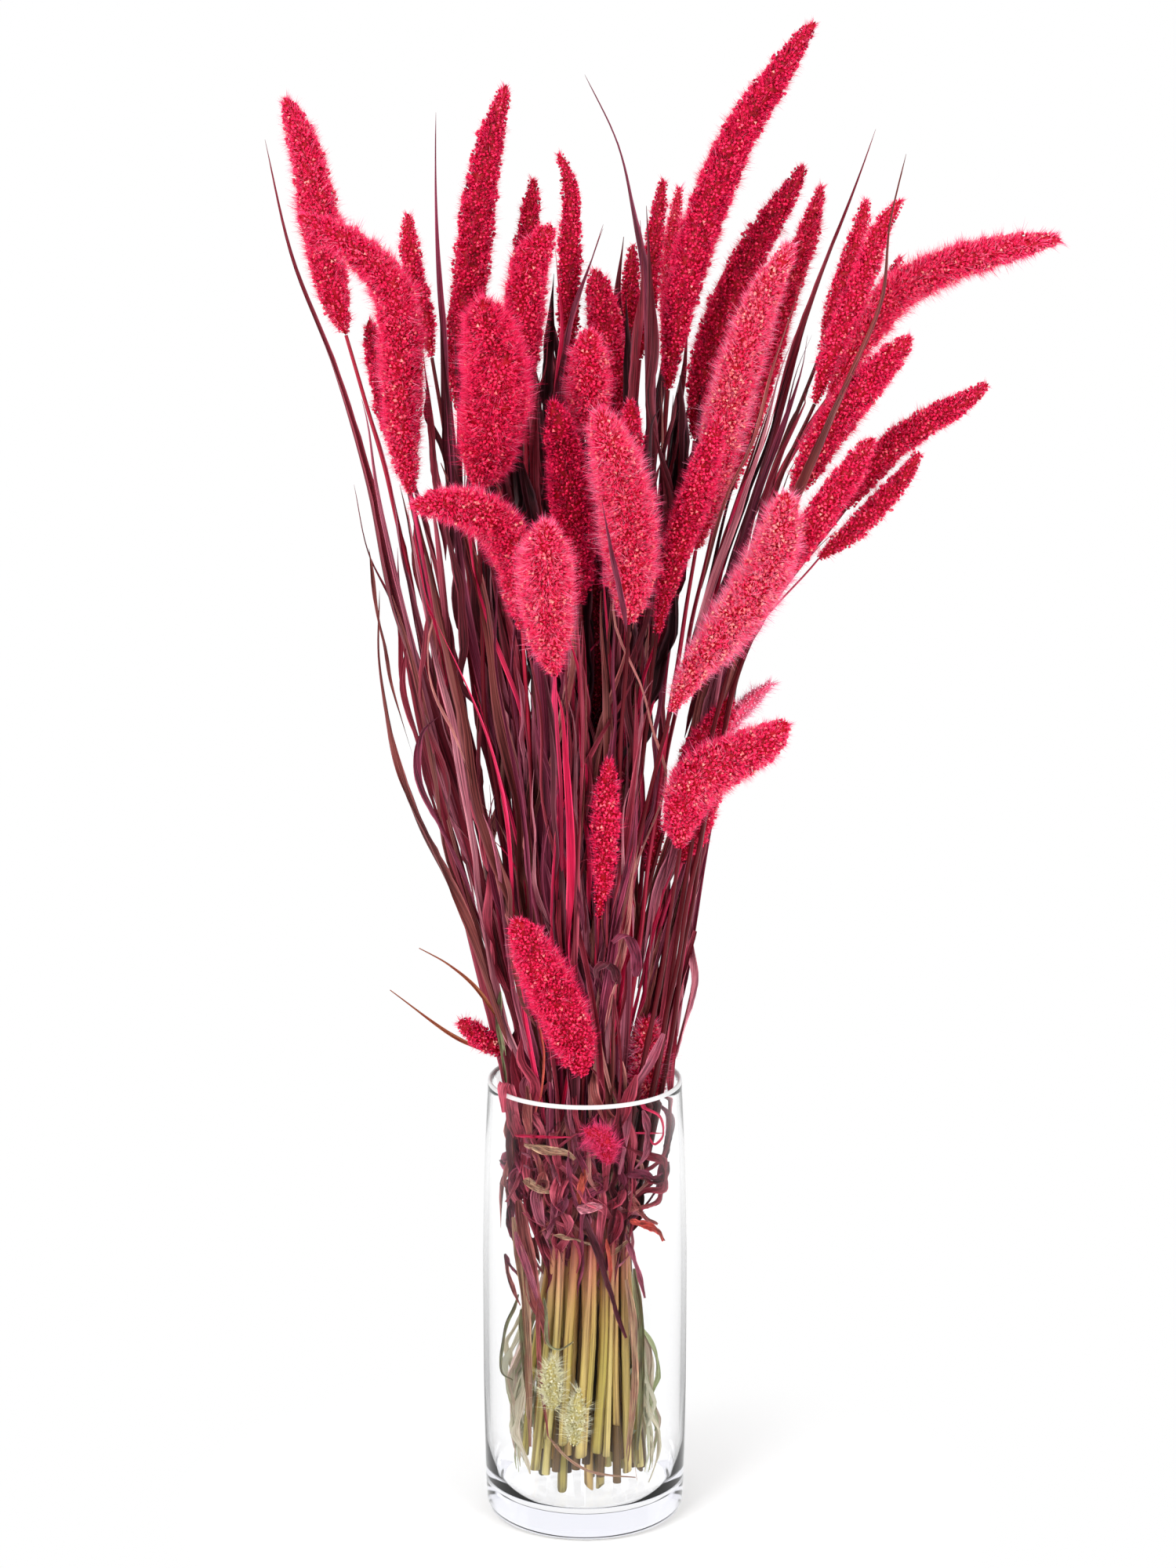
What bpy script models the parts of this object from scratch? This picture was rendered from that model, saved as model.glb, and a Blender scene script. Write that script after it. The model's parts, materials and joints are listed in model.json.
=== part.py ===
"""A clear glass vase holding a bunch of dyed, dried foxtail millet. Metres, +Z up.

The origin is the centre of the vase's underside. The bunch is laid out in elevation, on the upright plane
through the vase's axis as seen from EYE, and each point is then moved nearer or farther along its own line
of sight. Every stalk is one solid, from its cut end up to the tip of its seed head.
"""

import math

import bpy
import numpy as np

CM = 0.01

# Vase
VASE_HEIGHT = 0.233
RIM_RADIUS = 0.0494
BELLY_RADIUS = 0.0525
FOOT_RADIUS = 0.0512
HEEL = 0.006
WALL = 0.0026
FLOOR = 0.011
VASE_SIDES = 40

# Bunch
EYE = np.array((0.0, -2.025, 0.852))
GAP = 0.0005
SIDES = 6
CULM_RADIUS = 0.0018
THREAD_RADIUS = 0.0008
FLUFF = 0.0027
WAIST_HEIGHT = 0.135
WAIST_RADIUS = 0.0205
EVENNESS = 0.6
FOOT_SPREAD = 1.45
FOOT_TWIST = math.radians(14.0)
CULM_LEVELS = (0.135, 0.19, 0.238, 0.30, 0.37, 0.45, 0.53)
BUNDLE_LEFT = (0.022, 0.032, 0.040, 0.055, 0.075, 0.093, 0.106)
BUNDLE_RIGHT = (0.022, 0.031, 0.040, 0.050, 0.060, 0.077, 0.096)
LEAF_RINGS = 9
LEAF_THICKNESS = 0.0011
PASSES = 420
CLEAR_ENOUGH = 0.0001

# Seed heads: name, (across, up) in centimetres from base to tip, depth at base and tip in centimetres
# (toward the viewer is negative), and the width over the bristles in centimetres.
HEADS = (
    ("millet_far_left",
     ((-11.7, 61.2), (-12.4, 63.8), (-13.2, 68.5), (-13.7, 70.7), (-14.5, 72.7)), 2.0, 3.0, 2.2),
    ("millet_left_drooping",
     ((-8.6, 53.3), (-9.0, 57.0), (-9.0, 60.5), (-9.1, 62.6), (-10.2, 64.6), (-12.0, 66.0),
      (-13.9, 67.0)), -2.5, -6.5, 2.3),
    ("millet_left_pointed", ((-7.5, 60.1), (-8.0, 62.5), (-8.5, 65.0), (-8.6, 67.1)), 1.5, 2.0, 1.5),
    ("millet_left_shaded", ((-9.0, 55.0), (-9.6, 57.5), (-10.1, 60.0), (-10.6, 61.9)), 3.0, 4.5, 1.8),
    ("millet_left_tall",
     ((-5.9, 56.8), (-6.2, 59.5), (-5.8, 62.0), (-5.45, 65.0), (-4.9, 69.3), (-3.8, 73.3)), 2.0, 4.0, 2.1),
    ("millet_left_plump",
     ((-5.2, 53.6), (-4.7, 56.0), (-4.3, 59.0), (-4.7, 61.3), (-5.0, 62.9)), -4.0, -8.0, 3.4),
    ("millet_left_back_slim", ((-3.4, 62.0), (-2.9, 65.5), (-2.6, 67.5), (-2.5, 68.8)), 5.0, 6.5, 1.5),
    ("millet_left_bright",
     ((-3.0, 58.5), (-3.0, 61.5), (-2.8, 64.0), (-2.3, 65.5), (-1.6, 66.5)), -1.5, -3.0, 2.3),
    ("millet_centre_slim",
     ((-0.9, 59.0), (-0.8, 62.5), (-0.7, 66.0), (-0.7, 68.6), (-1.3, 70.0)), 1.5, 2.5, 1.5),
    ("millet_centre_front", ((0.3, 56.0), (0.2, 58.8), (0.2, 61.4)), -2.5, -5.0, 2.3),
    ("millet_centre_tall", ((1.7, 57.0), (1.2, 60.0), (0.9, 62.3), (0.5, 64.4)), 0.5, 0.5, 2.2),
    ("millet_centre_short", ((2.2, 53.5), (2.3, 55.8), (2.25, 58.0)), -2.5, -4.0, 1.5),
    ("millet_front_bright",
     ((2.2, 46.8), (2.3, 49.5), (2.1, 52.5), (1.5, 55.0), (0.7, 57.5)), -6.0, -9.0, 2.8),
    ("millet_front_dark",
     ((-0.2, 47.8), (-0.5, 51.0), (-0.85, 54.5), (-1.2, 56.5), (-1.6, 57.9)), -4.0, -6.0, 2.3),
    ("millet_back_shaded", ((-1.9, 50.5), (-2.9, 54.0), (-3.5, 57.5)), 4.0, 6.0, 2.2),
    ("millet_middle_hidden", ((0.7, 40.5), (0.6, 44.0), (0.5, 47.0), (0.5, 49.8)), 0.0, 0.0, 1.5),
    ("millet_low_upright", ((0.7, 31.7), (0.95, 34.0), (1.05, 37.0), (1.2, 39.9)), -4.0, -5.5, 1.7),
    ("millet_front_arching",
     ((-3.1, 46.5), (-3.2, 49.2), (-3.9, 51.3), (-5.3, 52.5), (-6.8, 52.8), (-8.5, 52.8)), -4.5, -9.0, 2.4),
    ("millet_front_plump", ((-1.5, 44.2), (-1.8, 46.5), (-1.9, 49.5), (-2.0, 51.9)), -8.0, -12.5, 2.9),
    ("millet_right_tallest",
     ((4.1, 58.5), (4.4, 61.5), (5.1, 64.8), (5.95, 67.2), (7.05, 70.1), (8.6, 72.6), (9.75, 74.5),
      (11.1, 76.3)), -0.5, 0.5, 2.2),
    ("millet_right_slim", ((2.7, 60.0), (3.2, 64.0), (3.55, 67.0), (3.8, 68.8)), 5.0, 6.5, 1.35),
    ("millet_right_pale", ((4.1, 60.0), (4.1, 64.5), (4.6, 68.4)), 8.0, 9.0, 1.3),
    ("millet_centre_back", ((2.2, 59.5), (2.2, 62.5), (2.35, 65.6)), 3.0, 4.0, 1.4),
    ("millet_right_dark",
     ((5.4, 56.0), (5.8, 59.5), (6.7, 62.2), (7.7, 64.4), (8.9, 66.6), (9.9, 68.0),
      (10.6, 69.5)), 2.5, 4.0, 2.0),
    ("millet_right_pink",
     ((6.5, 52.3), (7.6, 55.7), (8.8, 59.8), (9.8, 63.4), (10.9, 66.2), (11.5, 68.5)), 6.0, 8.0, 1.9),
    ("millet_right_bright",
     ((5.5, 50.5), (6.7, 56.0), (7.8, 60.3), (8.9, 63.4), (10.1, 65.7)), -2.0, -2.5, 2.3),
    ("millet_right_lower",
     ((3.6, 46.3), (4.3, 49.8), (5.4, 53.0), (6.0, 55.0), (6.6, 57.1)), -4.0, -6.0, 2.0),
    ("millet_right_bristly",
     ((4.3, 42.3), (5.8, 45.0), (7.7, 47.3), (9.2, 49.8), (9.8, 51.8), (10.0, 53.4)), -5.0, -8.0, 2.7),
    ("millet_far_right_curved",
     ((12.0, 58.0), (13.0, 60.0), (14.0, 61.8), (15.2, 63.2), (16.8, 64.3), (18.7, 64.9), (21.0, 65.5),
      (23.2, 65.9)), 1.5, 2.5, 2.1),
    ("millet_far_right_small", ((12.4, 58.8), (13.2, 61.0), (14.6, 63.3), (15.4, 65.0)), 4.5, 6.0, 1.4),
    ("millet_fan_upper",
     ((11.3, 57.8), (12.1, 60.3), (12.9, 62.3), (13.8, 64.6), (14.5, 66.5), (15.4, 67.8)), -2.0, -2.0, 1.6),
    ("millet_fan_narrow",
     ((11.6, 60.4), (12.3, 62.7), (13.0, 65.0), (13.5, 66.8), (13.7, 67.8)), 3.0, 4.5, 1.4),
    ("millet_fan_middle",
     ((10.2, 53.2), (11.2, 55.0), (12.4, 57.0), (13.9, 58.8), (15.0, 60.1), (16.0, 61.1)), -2.5, -4.0, 2.1),
    ("millet_fan_outer",
     ((12.9, 52.6), (14.2, 54.6), (15.3, 55.9), (17.0, 57.0), (18.6, 57.9), (19.8, 58.8)), 1.5, 1.5, 1.8),
    ("millet_fan_front",
     ((9.6, 48.6), (10.5, 50.6), (11.6, 52.2), (12.8, 54.0), (14.2, 56.1)), -3.0, -4.0, 1.9),
    ("millet_thread_stalk",
     ((11.6, 50.1), (12.7, 51.0), (13.8, 52.0), (14.8, 53.1), (15.9, 54.4), (16.5, 55.4)), 0.0, 0.5, 1.5),
    ("millet_low_right_long",
     ((4.8, 35.3), (4.9, 37.2), (5.7, 38.9), (7.3, 39.9), (8.8, 40.6), (10.1, 41.8)), -4.0, -5.0, 2.7),
    ("millet_low_right_red", ((4.6, 38.8), (5.8, 40.6), (6.8, 42.0), (7.3, 43.0)), -1.0, -2.0, 1.8),
    ("millet_low_right_pale", ((6.9, 40.8), (7.8, 42.4), (9.3, 43.8)), 1.0, 1.5, 1.2),
    ("millet_low_right_behind", ((4.9, 34.6), (5.6, 36.2), (6.2, 38.0), (7.0, 39.6)), -0.5, -0.5, 1.7),
    ("millet_low_small", ((3.2, 34.2), (3.5, 35.5), (3.7, 36.9)), 0.0, 0.0, 1.1),
    ("millet_low_front_leaning",
     ((-0.1, 23.3), (-0.6, 25.4), (-1.5, 27.5), (-2.6, 29.8), (-3.5, 31.6)), -3.8, -6.5, 2.7),
    ("millet_low_left_short", ((-4.1, 24.5), (-5.1, 25.3), (-6.4, 26.2)), 0.0, 0.0, 1.6),
    ("millet_low_rim", ((3.2, 21.6), (3.1, 24.0), (3.2, 26.4)), -0.5, -1.5, 2.2),
)
THREAD_STALK = "millet_thread_stalk"

# Heads that broke off and are caught among the stems inside the vase, laid out in the same way.
LOOSE_HEADS = (
    ("millet_broken_bit", ((1.2, 19.0), (0.9, 20.3), (0.0, 20.8)), -3.3, -3.3, 1.5),
    ("millet_undyed_upper", ((-1.6, 5.6), (-1.75, 7.0), (-1.65, 8.4)), -2.6, -2.6, 1.3),
    ("millet_undyed_lower", ((-0.5, 3.6), (-0.45, 5.2), (-0.3, 6.6)), -2.5, -2.5, 1.3),
)

# Long leaf blades: name, (across, up) in centimetres from base to tip, depths, and greatest width.
LEAVES = (
    ("leaf_far_left",
     ((-3.2, 25.0), (-4.8, 32.0), (-6.9, 40.0), (-9.2, 46.5), (-10.4, 52.0), (-11.2, 57.0), (-12.6, 60.2),
      (-13.9, 63.7), (-14.7, 66.8), (-15.0, 69.2), (-15.5, 70.7)), -1.5, 0.5, 0.9),
    ("leaf_left_wavy",
     ((-3.8, 27.0), (-5.6, 32.0), (-7.6, 38.8), (-9.0, 42.8), (-8.9, 46.0), (-10.2, 49.0), (-11.1, 51.5),
      (-11.4, 53.8)), 0.5, 1.0, 0.45),
    ("leaf_left_outer",
     ((-3.9, 25.0), (-5.4, 30.2), (-6.7, 33.2), (-8.0, 35.8), (-9.1, 38.6), (-9.9, 42.5), (-10.3, 46.0),
      (-10.2, 48.5)), -2.5, -2.0, 0.6),
    ("leaf_left_purple",
     ((-4.3, 40.0), (-6.0, 48.0), (-6.7, 55.0), (-6.9, 60.0), (-7.2, 66.0), (-7.2, 72.0)), -2.0, -1.0, 0.6),
    ("leaf_centre_tall",
     ((2.6, 43.0), (3.2, 50.0), (3.4, 56.0), (3.2, 62.0), (2.3, 67.3), (1.2, 71.9),
      (0.0, 73.8)), -2.0, -1.0, 0.8),
    ("leaf_centre_left",
     ((-1.3, 50.0), (-1.9, 55.5), (-1.2, 60.0), (-0.1, 63.6), (0.9, 66.6)), 0.0, -1.5, 0.4),
    ("leaf_right_inner",
     ((5.0, 41.0), (7.0, 48.0), (8.5, 53.5), (9.3, 56.8), (10.2, 60.0), (11.0, 62.7), (12.1, 65.4),
      (12.9, 67.8), (13.5, 69.5), (14.1, 71.2)), 1.5, 0.5, 0.7),
    ("leaf_right_outer",
     ((7.0, 43.0), (10.0, 52.0), (12.2, 57.5), (13.9, 61.3), (14.6, 63.5), (14.8, 66.0), (15.0, 68.0),
      (15.6, 70.0)), -3.0, -3.0, 0.6),
    ("leaf_right_low",
     ((4.5, 24.0), (5.0, 26.0), (5.5, 28.2), (5.4, 29.8), (5.3, 31.5), (5.9, 34.0),
      (6.2, 36.5)), 0.5, 1.0, 0.5),
)
TWIGS = (
    ("twig_left_upper", ((-4.4, 26.4), (-5.6, 28.1), (-7.0, 29.3), (-8.4, 30.1)), -1.8, -2.5, 0.22),
    ("twig_left_lower", ((-4.9, 24.6), (-6.9, 25.6), (-9.9, 27.9)), 1.2, 1.2, 0.22),
)

HEAD_STATIONS = (0.0, 0.06, 0.2, 0.42, 0.64, 0.82, 0.94, 1.0)
HEAD_SWELL = (0.0, 0.62, 0.93, 1.0, 0.93, 0.74, 0.45, 0.1)
LEAF_SWELL = (0.45, 0.8, 1.0, 1.0, 0.95, 0.82, 0.62, 0.36, 0.12)


def place(across, up, depth):
    """The point at `depth` on the line of sight through (across, up) of the upright plane, all in metres."""
    on_plane = np.array((across, 0.0, up))
    return EYE + (on_plane - EYE) * (depth - EYE[1]) / (0.0 - EYE[1])


def curve_through(points, stations):
    """Points at the given fractions of the length of a smooth curve through `points`."""
    points = np.asarray(points)
    ends = np.vstack((2.0 * points[0] - points[1], points, 2.0 * points[-1] - points[-2]))
    fine = []
    for a, b, c, d in zip(ends, ends[1:], ends[2:], ends[3:]):
        for u in np.linspace(0.0, 1.0, 12, endpoint=False):
            curve = (2 * a - 5 * b + 4 * c - d) * u**2 + (3 * b - a - 3 * c + d) * u**3
            fine.append(0.5 * (2 * b + (c - a) * u + curve))
    fine.append(points[-1])
    fine = np.array(fine)
    run = np.concatenate(([0.0], np.cumsum(np.linalg.norm(np.diff(fine, axis=0), axis=1))))
    at = np.asarray(stations) * run[-1]
    return np.column_stack([np.interp(at, run, fine[:, k]) for k in range(3)])


def laid_out(points, near, far, stations):
    """A drawn line, base to tip, with its depth running from `near` to `far`."""
    depths = np.linspace(near, far, len(points))
    return curve_through([place(x * CM, z * CM, y * CM) for (x, z), y in zip(points, depths)], stations)


class Strand:
    """A run of rings from base to tip. `sighted` rings only ever change depth."""

    def __init__(self, name, points, radii, sighted, culm_rings=0):
        self.name = name
        self.points = np.array(points)
        self.radii = np.array(radii)
        self.sighted = np.array(sighted, bool)
        self.culm_rings = culm_rings


def inner_radius(z):
    """The radius of the vase's inside at each height."""
    heights = [z_at for _, z_at in INSIDE]
    return np.interp(z, heights, [r for r, _ in INSIDE])


def head_radii(width):
    full = max(0.5 * width * CM - FLUFF, 0.0032)
    return np.maximum(np.array(HEAD_SWELL) * full, CULM_RADIUS * 0.8)


def held_in_bundle(across, level):
    """Draws a culm in at the sides, where the stalks and leaves hold one another together."""
    reach = np.interp(level, CULM_LEVELS, BUNDLE_LEFT if across < 0 else BUNDLE_RIGHT)
    start = 0.75 * reach
    past = max(abs(across) - start, 0.0)
    return math.copysign(min(abs(across), start) + (reach - start) * math.tanh(past / (reach - start)), across)


def culm_of(index, head, spread_rank, turn_rank, count):
    """The culm under one head: its cut foot, the waist where the stems gather, and the fan up to the head."""
    base = head[0]
    lean = (head[1] - head[0]) / max(head[1][2] - head[0][2], 1e-4)
    even = 2 * math.pi * (turn_rank + 0.5) / count - math.pi
    angle = math.atan2(base[1], base[0])
    angle += EVENNESS * (even - angle)
    waist = WAIST_RADIUS * math.sqrt((spread_rank + 0.5) / count)
    gather = np.array((math.cos(angle), math.sin(angle))) * waist
    foot_angle = angle - FOOT_TWIST
    foot = np.array((math.cos(foot_angle), math.sin(foot_angle))) * waist * FOOT_SPREAD
    foot_height = FLOOR + 0.002 + 0.016 * ((index * 0.618034) % 1.0) + (0.008 if base[1] < 0 else 0.0)
    points = [(foot[0], foot[1], foot_height)]
    rise = base[2] - WAIST_HEIGHT
    out = (base[:2] - gather) / rise
    arrive = 0.55 * out + 0.45 * np.clip(lean[:2], -0.7, 0.7)
    for level in CULM_LEVELS:
        if level > base[2] - 0.03:
            break
        u = max(level - WAIST_HEIGHT, 0.0) / rise
        spot = (2 * u**3 - 3 * u**2 + 1) * gather + (u**3 - 2 * u**2 + u) * out * 0.9 * rise
        spot = spot + (3 * u**2 - 2 * u**3) * base[:2] + (u**3 - u**2) * arrive * rise
        points.append((held_in_bundle(spot[0], level), spot[1], level))
    return points


def strands():
    """Every stalk, loose head, leaf and twig as laid out, before they are eased apart."""
    heads = []
    for name, points, near, far, width in HEADS:
        heads.append((name, laid_out(points, near, far, HEAD_STATIONS), head_radii(width)))
    spread = [math.hypot(head[0][0], head[0][1]) / (head[0][2] - 0.05) for _, head, _ in heads]
    ranks = np.argsort(np.argsort(spread))
    turns = np.argsort(np.argsort([math.atan2(head[0][1], head[0][0]) for _, head, _ in heads]))
    made = []
    for index, (name, head, radii) in enumerate(heads):
        culm = culm_of(index, head, ranks[index], turns[index], len(heads))
        thick = [CULM_RADIUS] * len(culm)
        if name == THREAD_STALK:
            thick = [CULM_RADIUS if p[2] < 0.35 else THREAD_RADIUS for p in culm]
            radii = np.concatenate(([THREAD_RADIUS], radii[1:]))
        made.append(Strand(name, np.vstack((culm, head)), thick + list(radii),
                           [False] * len(culm) + [True] * len(head), len(culm)))
    for name, points, near, far, width in LOOSE_HEADS:
        head = laid_out(points, near, far, HEAD_STATIONS)
        made.append(Strand(name, head, head_radii(width), [True] * len(head)))
    for name, points, near, far, width in LEAVES + TWIGS:
        stations = np.linspace(0.0, 1.0, LEAF_RINGS)
        swell = np.array(LEAF_SWELL) * 0.5 * width * CM
        blade = laid_out(points, near, far, stations)
        made.append(Strand(name, blade, np.maximum(swell, 0.0008), [True] * len(blade)))
    return made


def nearest(a0, a1, b0, b1):
    """The closest approach of each pair of segments: the two fractions along them."""
    u, v, w = a1 - a0, b1 - b0, a0 - b0
    uu, uv, vv = (u * u).sum(1), (u * v).sum(1), (v * v).sum(1)
    uw, vw = (u * w).sum(1), (v * w).sum(1)
    flat = uu * vv - uv * uv
    s = np.where(flat > 1e-12, (uv * vw - vv * uw) / np.maximum(flat, 1e-12), 0.5)
    s = np.clip(s, 0.0, 1.0)
    t = np.clip((uv * s + vw) / np.maximum(vv, 1e-12), 0.0, 1.0)
    s = np.clip((uv * t - uw) / np.maximum(uu, 1e-12), 0.0, 1.0)
    return s, t


def eased(made):
    """Moves the strands apart, a little at a time, until none of them meet."""
    points = np.vstack([s.points for s in made])
    radii = np.concatenate([s.radii for s in made])
    sighted = np.concatenate([s.sighted for s in made])
    owner = np.concatenate([[k] * len(s.points) for k, s in enumerate(made)])
    starts = np.concatenate(([0], np.cumsum([len(s.points) for s in made])))
    first = np.array([k for k in range(len(points) - 1) if owner[k] == owner[k + 1]])
    pair_a, pair_b = np.triu_indices(len(first), 1)
    apart = owner[first[pair_a]] != owner[first[pair_b]]
    pair_a, pair_b = pair_a[apart], pair_b[apart]
    sight = points - EYE
    sight = sight / np.linalg.norm(sight, axis=1)[:, None]
    for step in range(PASSES):
        low, high = points[first], points[first + 1]
        middle, half = 0.5 * (low + high), 0.5 * np.linalg.norm(high - low, axis=1)
        thick = np.maximum(radii[first], radii[first + 1])
        reach = half + thick + GAP
        gap = np.linalg.norm(middle[pair_a] - middle[pair_b], axis=1)
        close = gap < reach[pair_a] + reach[pair_b]
        a, b = first[pair_a[close]], first[pair_b[close]]
        s, t = nearest(points[a], points[a + 1], points[b], points[b + 1])
        on_a = points[a] + (points[a + 1] - points[a]) * s[:, None]
        on_b = points[b] + (points[b + 1] - points[b]) * t[:, None]
        size = radii[a] * (1 - s) + radii[a + 1] * s + radii[b] * (1 - t) + radii[b + 1] * t
        between = on_a - on_b
        span = np.maximum(np.linalg.norm(between, axis=1), 1e-7)
        short = size + 2 * GAP - span
        hit = short > 0
        if not hit.any() or short.max() < CLEAR_ENOUGH:
            break
        way = between / span[:, None]
        push = np.zeros_like(points)
        weight = np.zeros(len(points))
        for ring, share, sign in ((a, 1 - s, 1), (a + 1, s, 1), (b, 1 - t, -1), (b + 1, t, -1)):
            ring, share = ring[hit], share[hit]
            toward = sign * way[hit]
            along = (toward * sight[ring]).sum(1)
            along = np.where(np.abs(along) < 0.3, np.copysign(0.3, along), along)
            deep = sight[ring] / along[:, None]
            flat = toward * (1.0, 1.0, 0.0)
            move = np.where(sighted[ring][:, None], deep, flat) * (share * short[hit])[:, None]
            np.add.at(push, ring, move)
            np.add.at(weight, ring, share)
        push = 0.5 * push / np.maximum(weight, 1.0)[:, None]
        for k, strand in enumerate(made):
            part = slice(starts[k], starts[k + 1])
            points[part] += smoothed(push[part], strand)
        hold_in_vase(points, radii, sighted)
    for k, strand in enumerate(made):
        strand.points = points[starts[k]:starts[k + 1]].copy()


def smoothed(push, strand):
    """A push spread along a strand: a head moves as one piece, and a culm or a blade bends gently."""
    push = push.copy()
    culm = strand.culm_rings
    head = push[culm:]
    if len(head) == len(HEAD_STATIONS):
        at = np.array(HEAD_STATIONS) - 0.5
        slope = (head * at[:, None]).sum(0) / (at**2).sum()
        push[culm:] = 1.6 * (head.mean(0) + at[:, None] * slope * 0.6)
    else:
        head[1:-1] = 0.5 * head[1:-1] + 0.25 * (head[:-2] + head[2:])
    if culm:
        padded = np.vstack((push[:1], push[:culm + 1]))
        push[:culm] = 0.5 * padded[1:-1] + 0.25 * (padded[:-2] + padded[2:])
    return push


def hold_in_vase(points, radii, sighted):
    """Keeps what is below the rim inside the glass."""
    below = points[:, 2] < VASE_HEIGHT + 0.008
    room = inner_radius(points[:, 2]) - radii - 2 * GAP
    out = np.hypot(points[:, 0], points[:, 1])
    past = below & (out > room) & ~sighted
    points[past, :2] *= (room[past] / out[past])[:, None]


# The vase's profile, (radius, height), outside from the middle of the underside up to the rim, then inside.
OUTSIDE = (
    (0.0, 0.0), (FOOT_RADIUS - HEEL, 0.0), (FOOT_RADIUS - 0.0018, 0.0018), (FOOT_RADIUS, HEEL),
    (0.5 * (FOOT_RADIUS + BELLY_RADIUS), 0.035), (BELLY_RADIUS, 0.09), (BELLY_RADIUS, 0.15),
    (0.5 * (BELLY_RADIUS + RIM_RADIUS), 0.198), (RIM_RADIUS, VASE_HEIGHT - 0.001),
    (RIM_RADIUS - 0.0006, VASE_HEIGHT),
)
INSIDE = (
    (0.0, FLOOR), (0.036, FLOOR + 0.0006), (FOOT_RADIUS - 0.0065, FLOOR + 0.005), (FOOT_RADIUS - WALL, 0.030),
    (BELLY_RADIUS - WALL, 0.09), (BELLY_RADIUS - WALL, 0.15),
    (0.5 * (BELLY_RADIUS + RIM_RADIUS) - WALL, 0.198),
    (RIM_RADIUS - WALL + 0.0003, VASE_HEIGHT - 0.001), (RIM_RADIUS - WALL + 0.0009, VASE_HEIGHT),
)


def vase_mesh():
    """The glass, turned about Z from its profile."""
    profile = list(OUTSIDE) + list(reversed(INSIDE))
    vertices, faces, rings = [], [], []
    for radius, height in profile:
        if radius == 0.0:
            rings.append([len(vertices)])
            vertices.append((0.0, 0.0, height))
            continue
        rings.append(list(range(len(vertices), len(vertices) + VASE_SIDES)))
        for k in range(VASE_SIDES):
            angle = 2 * math.pi * k / VASE_SIDES
            vertices.append((radius * math.cos(angle), radius * math.sin(angle), height))
    for lower, upper in zip(rings, rings[1:]):
        for k in range(VASE_SIDES):
            n = (k + 1) % VASE_SIDES
            if len(lower) == 1:
                faces.append((lower[0], upper[n], upper[k]))
            elif len(upper) == 1:
                faces.append((lower[k], lower[n], upper[0]))
            else:
                faces.append((lower[k], lower[n], upper[n], upper[k]))
    return vertices, faces


def frames_along(points):
    """Two directions across the path at each point, carried along it without twist."""
    ahead = np.gradient(points, axis=0)
    ahead /= np.linalg.norm(ahead, axis=1)[:, None]
    side = np.cross(ahead[0], (0.0, 1.0, 0.0))
    sides = []
    for direction in ahead:
        side = side - direction * side.dot(direction)
        side /= np.linalg.norm(side)
        sides.append(side)
    sides = np.array(sides)
    return sides, np.cross(ahead, sides)


def tube_mesh(points, radii, flat=None):
    """A closed tube along `points`. With `flat`, a thin lens that wide and `flat` thick instead of round."""
    sides, ups = frames_along(points)
    count = SIDES if flat is None else 4
    vertices, faces = [], []
    for centre, radius, side, up in zip(points, radii, sides, ups):
        for k in range(count):
            angle = 2 * math.pi * k / count
            rise = radius if flat is None else 0.5 * flat
            vertices.append(centre + side * radius * math.cos(angle) + up * rise * math.sin(angle))
    for ring in range(len(points) - 1):
        for k in range(count):
            a, b = ring * count + k, ring * count + (k + 1) % count
            faces.append((a, b, b + count, a + count))
    faces.append(tuple(reversed(range(count))))
    faces.append(tuple(range(len(vertices) - count, len(vertices))))
    return vertices, faces


def add_object(name, vertices, faces, colour, roughness, clear=0.0):
    mesh = bpy.data.meshes.new(name)
    mesh.from_pydata([tuple(v) for v in vertices], [], faces)
    mesh.update()
    thing = bpy.data.objects.new(name, mesh)
    bpy.context.scene.collection.objects.link(thing)
    material = bpy.data.materials.new(name)
    material.use_nodes = True
    shader = material.node_tree.nodes["Principled BSDF"]
    shader.inputs["Base Color"].default_value = (*colour, 1.0)
    shader.inputs["Roughness"].default_value = roughness
    shader.inputs["Transmission Weight"].default_value = clear
    shader.inputs["IOR"].default_value = 1.5
    mesh.materials.append(material)
    return thing


def build():
    for thing in list(bpy.data.objects):
        bpy.data.objects.remove(thing, do_unlink=True)
    add_object("vase", *vase_mesh(), (0.97, 0.98, 1.0), 0.02, clear=1.0)
    made = strands()
    eased(made)
    leaf_names = {row[0] for row in LEAVES}
    twig_names = {row[0] for row in TWIGS}
    for strand in made:
        if strand.name in leaf_names:
            mesh = tube_mesh(strand.points, strand.radii, LEAF_THICKNESS)
            add_object(strand.name, *mesh, (0.16, 0.035, 0.06), 0.6)
        elif strand.name in twig_names:
            mesh = tube_mesh(strand.points, strand.radii, LEAF_THICKNESS)
            add_object(strand.name, *mesh, (0.3, 0.12, 0.08), 0.6)
        elif "undyed" in strand.name:
            add_object(strand.name, *tube_mesh(strand.points, strand.radii), (0.6, 0.55, 0.3), 0.8)
        else:
            add_object(strand.name, *tube_mesh(strand.points, strand.radii), (0.55, 0.02, 0.07), 0.8)


if __name__ == "__main__":
    build()
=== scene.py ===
"""Visual model of the vase of dyed, dried foxtail millet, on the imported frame. Metres, +Z up."""

import json
import math

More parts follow.
